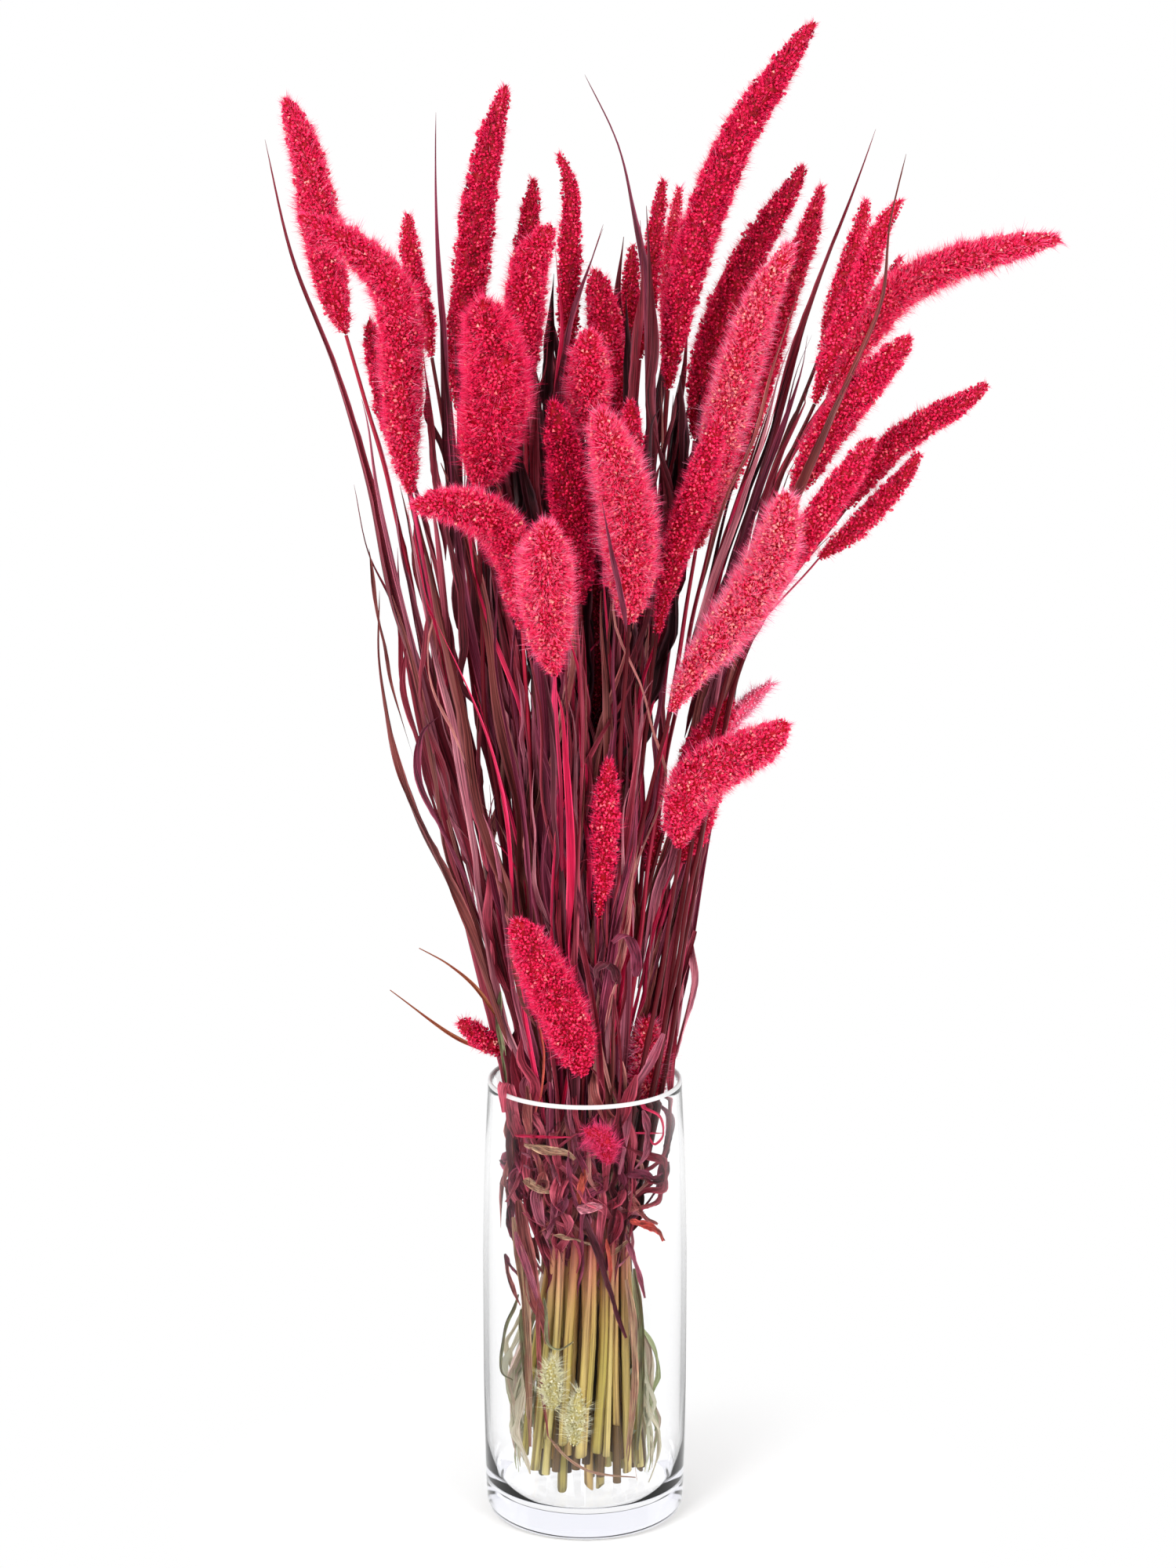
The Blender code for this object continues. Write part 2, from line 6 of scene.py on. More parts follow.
import bpy
import numpy as np
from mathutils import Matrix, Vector

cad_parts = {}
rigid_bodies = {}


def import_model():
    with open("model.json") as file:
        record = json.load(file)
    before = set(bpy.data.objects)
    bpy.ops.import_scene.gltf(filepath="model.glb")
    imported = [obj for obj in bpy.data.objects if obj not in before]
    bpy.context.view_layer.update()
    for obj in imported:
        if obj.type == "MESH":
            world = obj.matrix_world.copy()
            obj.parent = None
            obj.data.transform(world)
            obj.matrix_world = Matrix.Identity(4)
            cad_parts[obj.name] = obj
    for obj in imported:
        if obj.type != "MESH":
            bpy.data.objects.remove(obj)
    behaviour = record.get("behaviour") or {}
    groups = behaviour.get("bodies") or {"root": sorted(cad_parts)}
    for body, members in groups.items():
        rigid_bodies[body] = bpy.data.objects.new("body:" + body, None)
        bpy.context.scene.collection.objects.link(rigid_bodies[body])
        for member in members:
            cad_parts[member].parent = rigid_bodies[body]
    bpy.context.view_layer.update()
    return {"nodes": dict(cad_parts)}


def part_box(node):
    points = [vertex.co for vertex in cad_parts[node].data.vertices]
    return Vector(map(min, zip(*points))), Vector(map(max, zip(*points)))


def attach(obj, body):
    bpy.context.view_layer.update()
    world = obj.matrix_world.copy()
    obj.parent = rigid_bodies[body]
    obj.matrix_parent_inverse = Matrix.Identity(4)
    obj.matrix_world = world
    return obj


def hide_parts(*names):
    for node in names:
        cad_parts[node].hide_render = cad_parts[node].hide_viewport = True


for thing in list(bpy.data.objects):
    bpy.data.objects.remove(thing, do_unlink=True)
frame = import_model()

MM = 0.001
CM = 0.01
EYE = np.array((0.0, -2.025, 0.852))  # where the drawn lines are seen from
VIEWER = (0.1, -1.0, 0.15)  # the way most drawn leaves face
RIM = 0.236  # just above the glass
TOP = 0.62  # height where the colours of the culms end
NEAR_GLASS = 0.0450  # how far from the axis leaves may lie below the rim
AT_GLASS = 0.0455  # the same for drawn leaves
HEAD_RINGS = 8  # rings of a CAD stalk that are its head
CAD_STALK_SIDES = 6
CAD_LEAF_SIDES = 4
FLUFF = 2.7 * MM  # how far the bristles stand outside a loose head's core
GRAIN_GAP = 2.0 * MM  # from grain to grain
LOBE_GAP = 5.6 * MM  # from lobe to lobe of a head
FULL_HEAD = 5 * MM  # radius from which the grains are full size
GOLDEN_ANGLE = 2.39996
THIRD_TURN = 2.0944
TUFTS_PER_SQ_MM = 0.36
TUFT = 5  # bristles in a tuft
COLUMN = 0.02  # width of a culm's strip on the map
HEAD_SIDES = 11
CULM_SIDES = 8
STEM_SIDES = 10
STEM_STATIONS = 26
DRAWN = 40  # stations of a drawn leaf
LIMP = 32  # stations of a leaf of the crowd
LONG = 60  # stations of a blade that stands for a CAD node
WHITE = (255, 255, 255)


# ---------------------------------------------------------------- curves and frames


def place(across, up, depth):
    """The point at `depth` on the line of sight through (across, up) of the upright plane, in metres."""
    on_plane = np.array((across, 0.0, up))
    return EYE + (on_plane - EYE) * (depth - EYE[1]) / (0.0 - EYE[1])


def drawn(points, near, far):
    """A line drawn in centimetres on the upright plane, with its depth running from `near` to `far`."""
    depths = np.linspace(near, far, len(points))
    return np.array([place(x * CM, z * CM, y * CM) for (x, z), y in zip(points, depths)])


def carried(x, at, rows):
    """Each column of `rows`, given at `at`, read at x."""
    return np.column_stack([np.interp(x, at, column) for column in np.asarray(rows).T])


def length_of(points):
    return np.linalg.norm(np.diff(points, axis=0), axis=1).sum()


def curve_through(points, count, values=None):
    """`count` even points on a smooth curve through `points`, `values` carried along it, and its length."""
    points = np.asarray(points, float)
    values = np.zeros(len(points)) if values is None else np.asarray(values, float)
    rows = np.column_stack((points, values))
    ends = np.vstack((2.0 * rows[0] - rows[1], rows, 2.0 * rows[-1] - rows[-2]))
    fine = []
    for a, b, c, d in zip(ends, ends[1:], ends[2:], ends[3:]):
        for u in np.linspace(0.0, 1.0, 10, endpoint=False):
            curve = (2 * a - 5 * b + 4 * c - d) * u**2 + (3 * b - a - 3 * c + d) * u**3
            fine.append(0.5 * (2 * b + (c - a) * u + curve))
    fine.append(rows[-1])
    fine = np.array(fine)
    run = np.concatenate(([0.0], np.cumsum(np.linalg.norm(np.diff(fine[:, :3], axis=0), axis=1))))
    out = carried(np.linspace(0.0, run[-1], count), run, fine)
    return out[:, :3], out[:, 3], run[-1]


def sweep(points, near, far):
    """The smooth curve through a drawn line."""
    return curve_through(drawn(points, near, far), DRAWN)[0]


def frames_along(points, first=(0.0, 1.0, 0.0)):
    """Direction ahead and two directions across at each point, carried along without twist."""
    ahead = np.gradient(points, axis=0)
    ahead /= np.linalg.norm(ahead, axis=1)[:, None]
    side = np.cross(ahead[0], first)
    sides = []
    for direction in ahead:
        side = side - direction * side.dot(direction)
        side /= np.linalg.norm(side)
        sides.append(side)
    sides = np.array(sides)
    return ahead, sides, np.cross(ahead, sides)


def unit(vectors):
    """Vectors made one long."""
    return vectors / np.maximum(np.linalg.norm(vectors, axis=-1, keepdims=True), 1e-12)


def spokes(side, up, turn):
    """For each station, the directions at the angles `turn` round its line."""
    return side[:, None] * np.cos(turn)[None, :, None] + up[:, None] * np.sin(turn)[None, :, None]


def toward(turn, up=0.0):
    """The way out from the vase's axis at the angle `turn`."""
    return np.array((math.cos(turn), math.sin(turn), up))


def wave(random, t, slow, fast):
    """A sine along t with a random pace and start."""
    return np.sin(t * random.uniform(slow, fast) + random.uniform(0, 6))


def circle(sides):
    """Even angles all round."""
    return np.arange(sides) * 2 * math.pi / sides


def strip_map(quads, left, along, sides):
    """Map corners of a tube: a strip from `left`, with v by `along`, 0 to 1 for each station."""
    turns = np.tile(np.arange(sides) / sides, len(along))
    corners = np.column_stack((left + COLUMN * turns, 0.01 + 0.97 * np.repeat(along, sides)))[quads]
    corners[:, (1, 2), 0] = corners[:, (0, 3), 0] + COLUMN / sides
    return corners


# ---------------------------------------------------------------- meshes


def link_new(name, data):
    thing = bpy.data.objects.new(name, data)
    bpy.context.scene.collection.objects.link(thing)
    return thing


class Sheet:
    """Faces gathered for one piece: vertices, triangles, their map corners and their materials."""

    def __init__(self):
        self.vertices, self.faces, self.corners, self.kinds = [], [], [], []
        self.count = 0

    def add(self, vertices, faces, corners, kind=0):
        """`faces` is (n, 3) or (n, 4), and `corners` is (n, 3 or 4, 2) or one pair for each vertex."""
        vertices = np.asarray(vertices, np.float32)
        faces = np.asarray(faces, np.int64)
        corners = np.asarray(corners, np.float32)
        if corners.ndim == 2:
            corners = corners[faces]
        if faces.shape[1] == 4:
            faces = np.concatenate((faces[:, (0, 1, 2)], faces[:, (0, 2, 3)]))
            corners = np.concatenate((corners[:, (0, 1, 2)], corners[:, (0, 2, 3)]))
        self.vertices.append(vertices)
        self.faces.append(faces + self.count)
        self.corners.append(corners)
        self.kinds.append(np.full(len(faces), kind, np.int32))
        self.count += len(vertices)

    def piece(self, name, materials):
        """The gathered faces as one object that rides the body."""
        mesh = bpy.data.meshes.new(name)
        mesh.from_pydata(np.concatenate(self.vertices), [], np.concatenate(self.faces))
        mesh.polygons.foreach_set("material_index", np.concatenate(self.kinds))
        mesh.polygons.foreach_set("use_smooth", np.full(len(mesh.polygons), True))
        layer = mesh.uv_layers.new(name="OFBake")
        layer.data.foreach_set("uv", np.concatenate(self.corners).ravel())
        for material in materials:
            mesh.materials.append(material)
        mesh.validate()
        thing = link_new(name, mesh)
        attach(thing, "root")
        return thing


def loft(rings, closed=True):
    """Vertices and quads of a grid of rings, (n, m, 3), joined round when `closed`."""
    count, around = rings.shape[:2]
    index = np.arange(count * around).reshape(count, around)
    nxt = np.roll(index, -1, axis=1) if closed else index[:, 1:]
    here = index if closed else index[:, :-1]
    quads = np.stack((here[:-1], nxt[:-1], nxt[1:], here[1:]), axis=-1).reshape(-1, 4)
    return rings.reshape(-1, 3), quads


# ---------------------------------------------------------------- the CAD strands


def rings_of(node, sides):
    """The centre and radius of each ring of a CAD tube, from its lowest ring to its tip."""
    mesh = frame["nodes"][node].data
    raw = np.array([v.co for v in mesh.vertices])
    spots, back = np.unique(np.round(raw, 6), axis=0, return_inverse=True)
    back = back.ravel()
    near = [set() for _ in spots]
    for face in mesh.polygons:
        corners = [int(back[v]) for v in face.vertices]
        for a in corners:
            near[a].update(corners)
    layer = set(np.argsort(spots[:, 2])[:sides].tolist())
    seen = set(layer)
    centres, radii = [], []
    while layer:
        points = spots[sorted(layer)]
        centres.append(points.mean(0))
        radii.append(np.linalg.norm(points - centres[-1], axis=1).max())
        layer = {b for a in layer for b in near[a]} - seen
        seen |= layer
    return np.array(centres), np.array(radii)


# ---------------------------------------------------------------- seed heads


def head(sheet, centres, radii, random, tone, shag=1.0, glints=0.12):
    """A seed head on `sheet`: a knobbly core, beads on it, and bristles in tufts that lean toward the tip.

    `tone` is how bright it is, `shag` how long its bristles are, `glints` the share of beads given a painted
    highlight."""
    stations = max(20, int(length_of(centres) / (3.0 * MM)))
    line, size, length = curve_through(centres, stations, radii)
    size = np.maximum(size, 0.8 * MM)
    ahead, side, _ = frames_along(line)
    at = np.linspace(0.0, 1.0, stations)

    def on(s, turn, lift=0.0):
        """Points at share s and angle turn, `lift` outside the core; the ways out and ahead; the radius."""
        t = unit(carried(s, at, ahead))
        n = unit(carried(s, at, side))
        out = n * np.cos(turn)[:, None] + np.cross(t, n) * np.sin(turn)[:, None]
        radius = np.interp(s, at, size)
        return carried(s, at, line) + out * (radius + lift)[:, None], out, t, radius

    def map_u(bright):
        return 0.02 + 0.70 * bright

    area = 2 * math.pi * np.trapz(size, at * length)
    many = max(10, int(area / (0.866 * LOBE_GAP**2)))
    cumulative = np.concatenate(([0.0], np.cumsum(0.5 * (size[1:] + size[:-1]))))
    cumulative /= cumulative[-1]
    share = (np.arange(many) + 0.5) / many
    lobe_at = np.interp(share, cumulative, at)
    lobe_turn = np.arange(many) * GOLDEN_ANGLE + random.uniform(-0.3, 0.3, many)
    lobe_spots = on(lobe_at, lobe_turn)[0]
    lobe_high = random.uniform(0.45, 1.2, many)
    lobe_tone = random.normal(0, 0.07, many)

    def lobes(spots):
        """Height on the lobes, 0 in the clefts to about 1, and the tone of the lobe."""
        best, shade = np.zeros(len(spots)), np.zeros(len(spots))
        for k in range(0, len(spots), 4000):
            part = spots[k:k + 4000]
            gap = np.linalg.norm(part[:, None, :] - lobe_spots[None], axis=2) / (0.60 * LOBE_GAP)
            rise = np.clip(1.0 - gap**2, 0.0, 1.0) * lobe_high
            best[k:k + 4000] = rise.max(1)
            shade[k:k + 4000] = lobe_tone[rise.argmax(1)]
        return best, shade

    # the core, seen only in the clefts
    s = np.repeat(at, HEAD_SIDES)
    flat, out, _, radius = on(s, np.tile(circle(HEAD_SIDES), stations))
    high = lobes(flat)[0]
    lift = (high * 2.4 - 1.9) * MM * np.clip(radius / FULL_HEAD, 0.1, 1.0)
    spots = (flat + out * lift[:, None]).reshape(stations, HEAD_SIDES, 3)
    spots[0] = spots[0].mean(0)
    spots[-1] = spots[-1].mean(0) + ahead[-1] * 0.6 * MM
    vertices, quads = loft(spots)
    # painted shade: the core is darker where it lies low between the lobes, and its v of 0.2 takes the
    # material's clefts colour
    corners = np.column_stack((np.clip(0.04 + 0.45 * tone + 0.10 * high, 0.03, 0.7), np.full(len(s), 0.2)))
    corners = corners[quads] + np.array([(0, 0), (0.012, 0), (0.012, 0.02), (0, 0.02)])
    sheet.add(vertices, quads, corners)

    # the beads: rows of grains
    rows = []
    row_at = 0.012
    while row_at < 0.985:
        radius = np.interp(row_at, at, size) + 0.3 * MM
        n = max(4, int(round(2 * math.pi * radius / GRAIN_GAP)))
        base = (np.arange(n) + 0.5 * (len(rows) % 2)) * 2 * math.pi / n
        rows.append(np.column_stack((np.full(n, row_at), base)))
        row_at += GRAIN_GAP * 0.9 / length
    rows = np.concatenate(rows)
    many = len(rows)
    s = np.clip(rows[:, 0] + random.normal(0, 0.24, many) * GRAIN_GAP / length, 0.0, 0.998)
    radius = np.interp(s, at, size)
    angle = rows[:, 1] + random.normal(0, 0.24, many) * GRAIN_GAP / (radius + 0.8 * MM)
    high, shade = lobes(on(s, angle)[0])
    small = np.clip(radius / FULL_HEAD, 0.3, 1.0)
    root, out, along, _ = on(s, angle, (high * 2.7 - 2.1) * MM * small)
    lean = unit(out + along * random.uniform(0.25, 0.6, many)[:, None] + random.normal(0, 0.2, (many, 3)))
    across = unit(np.cross(lean, along))
    other = np.cross(lean, across)
    wide = random.uniform(0.85, 1.3, many) * MM * (0.55 + 0.45 * small)
    tall = random.uniform(1.6, 2.5, many) * MM * (0.5 + 0.5 * small)
    spin = random.uniform(0, 2.1, many)
    corners_of_bead = [root]
    for k in range(3):
        c, d = np.cos(spin + k * THIRD_TURN), np.sin(spin + k * THIRD_TURN)
        out = (across * c[:, None] + other * d[:, None]) * wide[:, None]
        corners_of_bead.append(root + lean * (0.6 * tall)[:, None] + out)
    corners_of_bead.append(root + lean * tall[:, None])
    start = np.arange(many) * 5
    kind = random.uniform(0, 1, many)
    # painted shade and painted highlights: beads high on a lobe are lighter, beads in the clefts darker, and
    # the glints lighter still
    bright = tone + shade + 0.28 * (high - 0.5) + random.normal(0, 0.07, many)
    glint = random.uniform(0.14, 0.36, many)
    bright += np.where(kind > 1.0 - glints, glint, 0) - np.where(kind < 0.2, 0.2, 0)
    bright = map_u(np.clip(bright, 0.03, 0.97))
    # each bead's foot (v 0.30) takes the material's foot colour, painted shade
    foot, belt, top = (np.column_stack((bright, np.full(many, v))) for v in (0.30, 0.45, 0.62))
    faces, corners = [], []
    for k in range(3):
        here, following = start + 1 + k, start + 1 + (k + 1) % 3
        faces += [np.column_stack((here, following, start + 4)), np.column_stack((following, here, start))]
        corners.append(np.stack((belt, belt + (0.01, 0.0), top), axis=1))
        corners.append(np.stack((belt + (0.01, 0.0), belt, foot), axis=1))
    vertices = np.stack(corners_of_bead, axis=1).reshape(-1, 3)
    sheet.add(vertices, np.concatenate(faces), np.concatenate(corners))

    # the bristles, in tufts
    tufts = int(area * 1e6 * TUFTS_PER_SQ_MM * np.clip(0.2 + 0.8 * shag, 0.9, 1.3))
    many = tufts * TUFT
    s = np.clip(np.interp(random.uniform(0.0, 1.0, tufts), cumulative, at), 0.004, 0.99)
    angle = random.uniform(0, 2 * math.pi, tufts)
    high = lobes(on(s, angle)[0])[0]
    tip_end = np.clip((s - 0.85) / 0.15, 0.0, 1.0)
    steep = random.uniform(-0.05, 0.5, tufts) + 1.1 * tip_end + random.choice((0.0, 0.5), tufts)
    reach = random.uniform(3.2, 5.8, tufts) * MM
    reach *= np.clip(0.62 + np.interp(s, at, size) / (18 * MM), 0.6, 1.15)
    reach *= (0.66 + 0.55 * high) * shag * random.uniform(0.75, 1.2, tufts)
    s, angle, steep, reach = (np.repeat(values, TUFT) for values in (s, angle, steep, reach))
    s = np.clip(s + random.normal(0, 0.5 * MM / length, many), 0.004, 0.995)
    root, out, along, _ = on(s, angle + random.normal(0, 0.07, many), -1.0 * MM)
    lean = unit(out + along * steep[:, None] + random.normal(0, 0.24, (many, 3)))
    reach = reach * random.uniform(0.7, 1.15, many)
    across = unit(np.cross(lean, random.normal(0, 1, (many, 3))))
    across *= (random.uniform(0.12, 0.19, many) * MM)[:, None]
    vertices = np.stack((root - across, root + across, root + lean * reach[:, None]), axis=1).reshape(-1, 3)
    bright = map_u(np.clip(tone + 0.06 * (shag - 0.8) + random.normal(0, 0.22, many), 0.03, 0.95))
    # the bristles' roots (v 0.66) take the material's foot colour, painted shade
    ends = ((0, 0.66), (0.01, 0.66), (0.005, 0.98))
    corners = [np.column_stack((bright + u, np.full(many, v))) for u, v in ends]
    sheet.add(vertices, np.arange(many * 3).reshape(-1, 3), np.stack(corners, axis=1))


def culm(sheet, centres, radii, random, shade):
    """The stem under a head: thick at the foot, slimmer and a little wavy above, with swollen joints."""
    stations = max(24, int(length_of(centres) / (6 * MM)))
    line, size, length = curve_through(centres, stations, radii)
    at = np.linspace(0.0, 1.0, stations)
    free = np.interp(line[:, 2], (0.2, 0.3), (0.0, 1.0)) * np.interp(at, (0.85, 1.0), (1.0, 0.0))
    for k in range(2):
        sway = np.sin(at * length / random.uniform(0.008, 0.018) + random.uniform(0, 6))
        line[:, k] += free * sway * random.uniform(0.2, 0.8) * MM
    ahead, side, up = frames_along(line)
    size = size * np.interp(line[:, 2], (0.03, 0.11, 0.14, 0.3), (1.2, 1.12, 0.95, 0.62))
    for _ in range(3):
        size *= 1.0 + 0.35 * np.exp(-((at - random.uniform(0.05, 0.9)) * length / (1.6 * MM)) ** 2)
    rings = line[:, None, :] + spokes(side, up, circle(CULM_SIDES)) * size[:, None, None]
    vertices, quads = loft(rings)
    high = np.clip(line[:, 2] / TOP, 0.0, 1.0)
    sheet.add(vertices, quads, strip_map(quads, 0.78 + 0.18 * shade, high, CULM_SIDES), 1)
    # the cut end
    foot = np.vstack((line[0] - ahead[0] * 0.4 * MM, rings[0]))
    fan = np.array([(0, 1 + (k + 1) % CULM_SIDES, 1 + k) for k in range(CULM_SIDES)])
    sheet.add(foot, fan, np.tile(((0.95, 0.01), (0.96, 0.01), (0.955, 0.03)), (len(fan), 1, 1)), 1)


# ---------------------------------------------------------------- materials


def linear(red, green, blue):
    """An sRGB colour, 0 to 255, as the shader wants it."""
    out = []
    for c in (red, green, blue):
        c = c / 255.0
        out.append(c / 12.92 if c <= 0.04045 else ((c + 0.055) / 1.055) ** 2.4)
    return (*out, 1.0)


class Graph:
    """Short ways to add to a node tree. A value is a number, a colour or another node's socket."""

    def __init__(self, tree):
        self.nodes, self.links = tree.nodes, tree.links

    def feed(self, node, inputs):
        for key, value in inputs.items():
            if isinstance(value, bpy.types.NodeSocket):
                self.links.new(value, node.inputs[key])
            else:
                node.inputs[key].default_value = value
        return node.outputs

    def add(self, kind, inputs=None):
        """A new node's outputs."""
        return self.feed(self.nodes.new("ShaderNode" + kind), inputs or {})

    def math(self, operation, *values):
        node = self.nodes.new("ShaderNodeMath")
        node.operation = operation
        return self.feed(node, dict(enumerate(values)))[0]

    def mixed(self, kind, factor, first, second):
        node = self.nodes.new("ShaderNodeMix")
        node.data_type = "RGBA"
        node.blend_type = kind
        return self.feed(node, {0: factor, 6: first, 7: second})[2]

    def ramp(self, value, stops, mode="LINEAR"):
        """Stops are a position and a colour, sRGB where it has three numbers."""
        node = self.nodes.new("ShaderNodeValToRGB")
        node.color_ramp.interpolation = mode
        elements = node.color_ramp.elements
        while len(elements) < len(stops):
            elements.new(0.5)
        for element, (position, colour) in zip(elements, stops):
            element.position = position
            element.color = colour if len(colour) == 4 else linear(*colour)
        return self.feed(node, {0: value})[0]

    def spread(self, value, low, high, least, smooth=False):
        """A value carried from the range low to high onto the range `least` to 1."""
        node = self.nodes.new("ShaderNodeMapRange")
        node.interpolation_type = "SMOOTHSTEP" if smooth else "LINEAR"
        return self.feed(node, {"From Min": low, "From Max": high, "To Min": least, "Value": value})[0]

    def map_axes(self):
        """The piece's own map, and its two numbers."""
        uv = self.nodes.new("ShaderNodeUVMap")
        uv.uv_map = "OFBake"
        split = self.add("SeparateXYZ", {0: uv.outputs[0]})
        return uv.outputs[0], split[0], split[1]

    def noise(self, uv, across, along, detail=2.0):
        """Streaks or blotches on the map."""
        stretched = self.add("Mapping", {"Scale": (across, along, 1.0), "Vector": uv})
        return self.add("TexNoise", {"Scale": 1.0, "Detail": detail, "Vector": stretched[0]})["Fac"]


def new_material(name):
    material = bpy.data.materials.new(name)
    material.use_nodes = True
    graph = Graph(material.node_tree)
    return material, graph, graph.nodes["Principled BSDF"]


def millet_material(name, grain, bristle, foot, clefts):
    """Beads (v 0.3 to 0.62) and bristles (v 0.66 to 1), by tone across the map, with painted shade at their
    foot and in the core's clefts.
    """
    material, graph, shader = new_material(name)
    _, u, v = graph.map_axes()
    beads, hairs = (graph.ramp(u, [(p * 0.70 + 0.02, c) for p, c in stops]) for stops in (grain, bristle))
    colour = graph.mixed("MIX", graph.ramp(v, [(0.63, (0, 0, 0)), (0.65, WHITE)]), beads, hairs)
    # painted shade: the clefts colour below v 0.26, and the foot colour at the feet of beads (v 0.31) and of
    # bristles (v 0.66)
    along = graph.ramp(v, [(0.0, clefts), (0.26, clefts), (0.31, foot), (0.46, WHITE),
                           (0.64, WHITE), (0.66, foot), (0.78, WHITE), (1.0, WHITE)])
    graph.feed(shader, {"Base Color": graph.mixed("MULTIPLY", 1.0, colour, along), "Roughness": 0.5,
                        "Specular IOR Level": 0.2})
    return material


def culm_material():
    """Straw and green at the foot, pinkish at the vase's waist, magenta to maroon above."""
    material, graph, shader = new_material("culm")
    uv, u, v = graph.map_axes()
    colour = graph.ramp(v, [
        (0.0, (190, 178, 118)), (0.06, (220, 208, 136)), (0.15, (222, 206, 126)), (0.195, (220, 186, 122)),
        (0.225, (218, 152, 118)), (0.25, (196, 92, 96)), (0.30, (170, 46, 80)), (0.42, (206, 36, 90)),
        (0.7, (216, 34, 94)), (1.0, (196, 36, 80))])
    # the dark ends of this ramp (to 0.81 and from 0.965) serve the stalks and stems in shade, painted shade;
    # some other stalks also fall there at random
    own = graph.ramp(u, [
        (0.78, (120, 96, 84)), (0.81, (130, 104, 84)), (0.83, (255, 240, 240)), (0.86, (205, 200, 150)),
        (0.90, WHITE), (0.94, (228, 190, 170)), (0.965, (112, 106, 74)), (0.99, (112, 106, 74))])
    out = graph.mixed("MULTIPLY", 1.0, colour, own)
    shade = graph.ramp(graph.noise(uv, 420.0, 7.0, 3.0),
                       [(0.38, (150, 130, 120)), (0.50, (240, 235, 235)), (0.62, WHITE)])
    graph.feed(shader, {"Base Color": graph.mixed("MULTIPLY", 0.85, out, shade), "Roughness": 0.42})
    return material


# The first colour, near black, is for leaves deep in the bunch and behind the heads: painted shade.
LEAF_COLOURS = (
    (56, 12, 22), (106, 28, 42), (146, 44, 62), (178, 66, 86), (202, 92, 110), (98, 36, 50), (130, 48, 74),
    (156, 64, 92), (182, 102, 120), (216, 144, 154), (134, 70, 64), (176, 102, 94), (204, 138, 126),
    (226, 32, 90), (250, 56, 112), (192, 164, 128), (150, 160, 114), (222, 108, 84), (222, 92, 76),
    (182, 112, 74))
TONES = len(LEAF_COLOURS)
(SHADE_BLACK, DARK, MAROON, ROSE, PINK, SLATE, PLUM, PURPLE, MAUVE, PALE, UMBER, BROWN, BEIGE,
 MAGENTA, BRIGHT, TAN, OLIVE, ORANGE, RUST, STRAW) = range(TONES)


def leaf_material():
    """Leaf blades, a colour for each column of the map, with veins, blotches, and painted highlights on
    midribs and edges.
    """
    material, graph, shader = new_material("leaf")
    uv, u, _ = graph.map_axes()
    colour = graph.ramp(u, [(k / TONES, c) for k, c in enumerate(LEAF_COLOURS)], "CONSTANT")
    veins = graph.noise(uv, 260.0, 5.0, 4.0)
    shade = graph.ramp(veins, [(0.38, (108, 90, 104)), (0.50, (212, 196, 206)), (0.60, (255, 250, 252))])
    out = graph.mixed("MULTIPLY", 0.9, colour, shade)
    patch = graph.ramp(graph.noise(uv, 30.0, 9.0), [(0.42, (0, 0, 0)), (0.68, WHITE)])
    out = graph.mixed("MIX", patch, out, graph.mixed("MULTIPLY", 1.0, out, linear(240, 204, 216)))
    middle = u  # 0 at a blade's midrib to 0.5 at its edges
    for operation, value in (("MULTIPLY", TONES), ("FRACT", 0.0), ("SUBTRACT", 0.5), ("ABSOLUTE", 0.0)):
        middle = graph.math(operation, middle, value)
    # painted highlights: the blade is lighter at its edges, and half as much at its midrib
    edge = graph.ramp(middle, [(0.0, (0.5, 0.5, 0.5, 1)), (0.06, (0, 0, 0)), (0.32, (0, 0, 0)),
                               (0.44, WHITE)])
    lit = graph.mixed("ADD", 1.0, graph.mixed("MULTIPLY", 1.0, out, (1.5, 1.6, 1.55, 1.0)),
                      (0.06, 0.024, 0.034, 1.0))
    bump = graph.add("Bump", {"Strength": 0.5, "Distance": 0.4 * MM, "Height": veins})
    graph.feed(shader, {"Base Color": graph.mixed("MIX", edge, out, lit), "Normal": bump[0],
                        "Roughness": 0.55, "Specular IOR Level": 0.28})
    return material


# For each kind of head the last two colours are painted shade: first at the feet of beads and bristles, then
# in the clefts of the core.
DYED = millet_material(
    "dyed_millet",
    [(0.0, (116, 2, 38)), (0.22, (184, 8, 58)), (0.42, (232, 22, 80)), (0.58, (254, 44, 98)),
     (0.74, (255, 76, 114)), (0.88, (255, 126, 128)), (1.0, (255, 172, 160))],
    [(0.0, (170, 2, 58)), (0.3, (242, 18, 86)), (0.5, (255, 42, 108)), (0.75, (255, 88, 142)),
     (1.0, (255, 176, 204))], (220, 98, 142), (178, 36, 92))
FADED = millet_material(
    "faded_millet",
    [(0.0, (255, 96, 146)), (1.0, (255, 190, 212))],
    [(0.0, (255, 110, 160)), (1.0, (255, 190, 214))], (255, 210, 226), (255, 150, 186))
TORN = millet_material(
    "torn_millet",
    [(0.0, (206, 0, 70)), (1.0, (255, 70, 130))],
    [(0.0, (240, 6, 84)), (1.0, (255, 96, 152))], (255, 170, 204), (220, 50, 120))
UNDYED = millet_material(
    "undyed_millet",
    [(0.0, (150, 144, 92)), (0.25, (206, 198, 132)), (0.5, (236, 230, 180)), (0.75, (246, 242, 212)),
     (1.0, (252, 248, 230))],
    [(0.0, (206, 202, 146)), (0.5, (238, 234, 190)), (1.0, (252, 250, 230))],
    (236, 228, 200), (220, 210, 170))
CULM = culm_material()
LEAF = leaf_material()


# ---------------------------------------------------------------- stalks

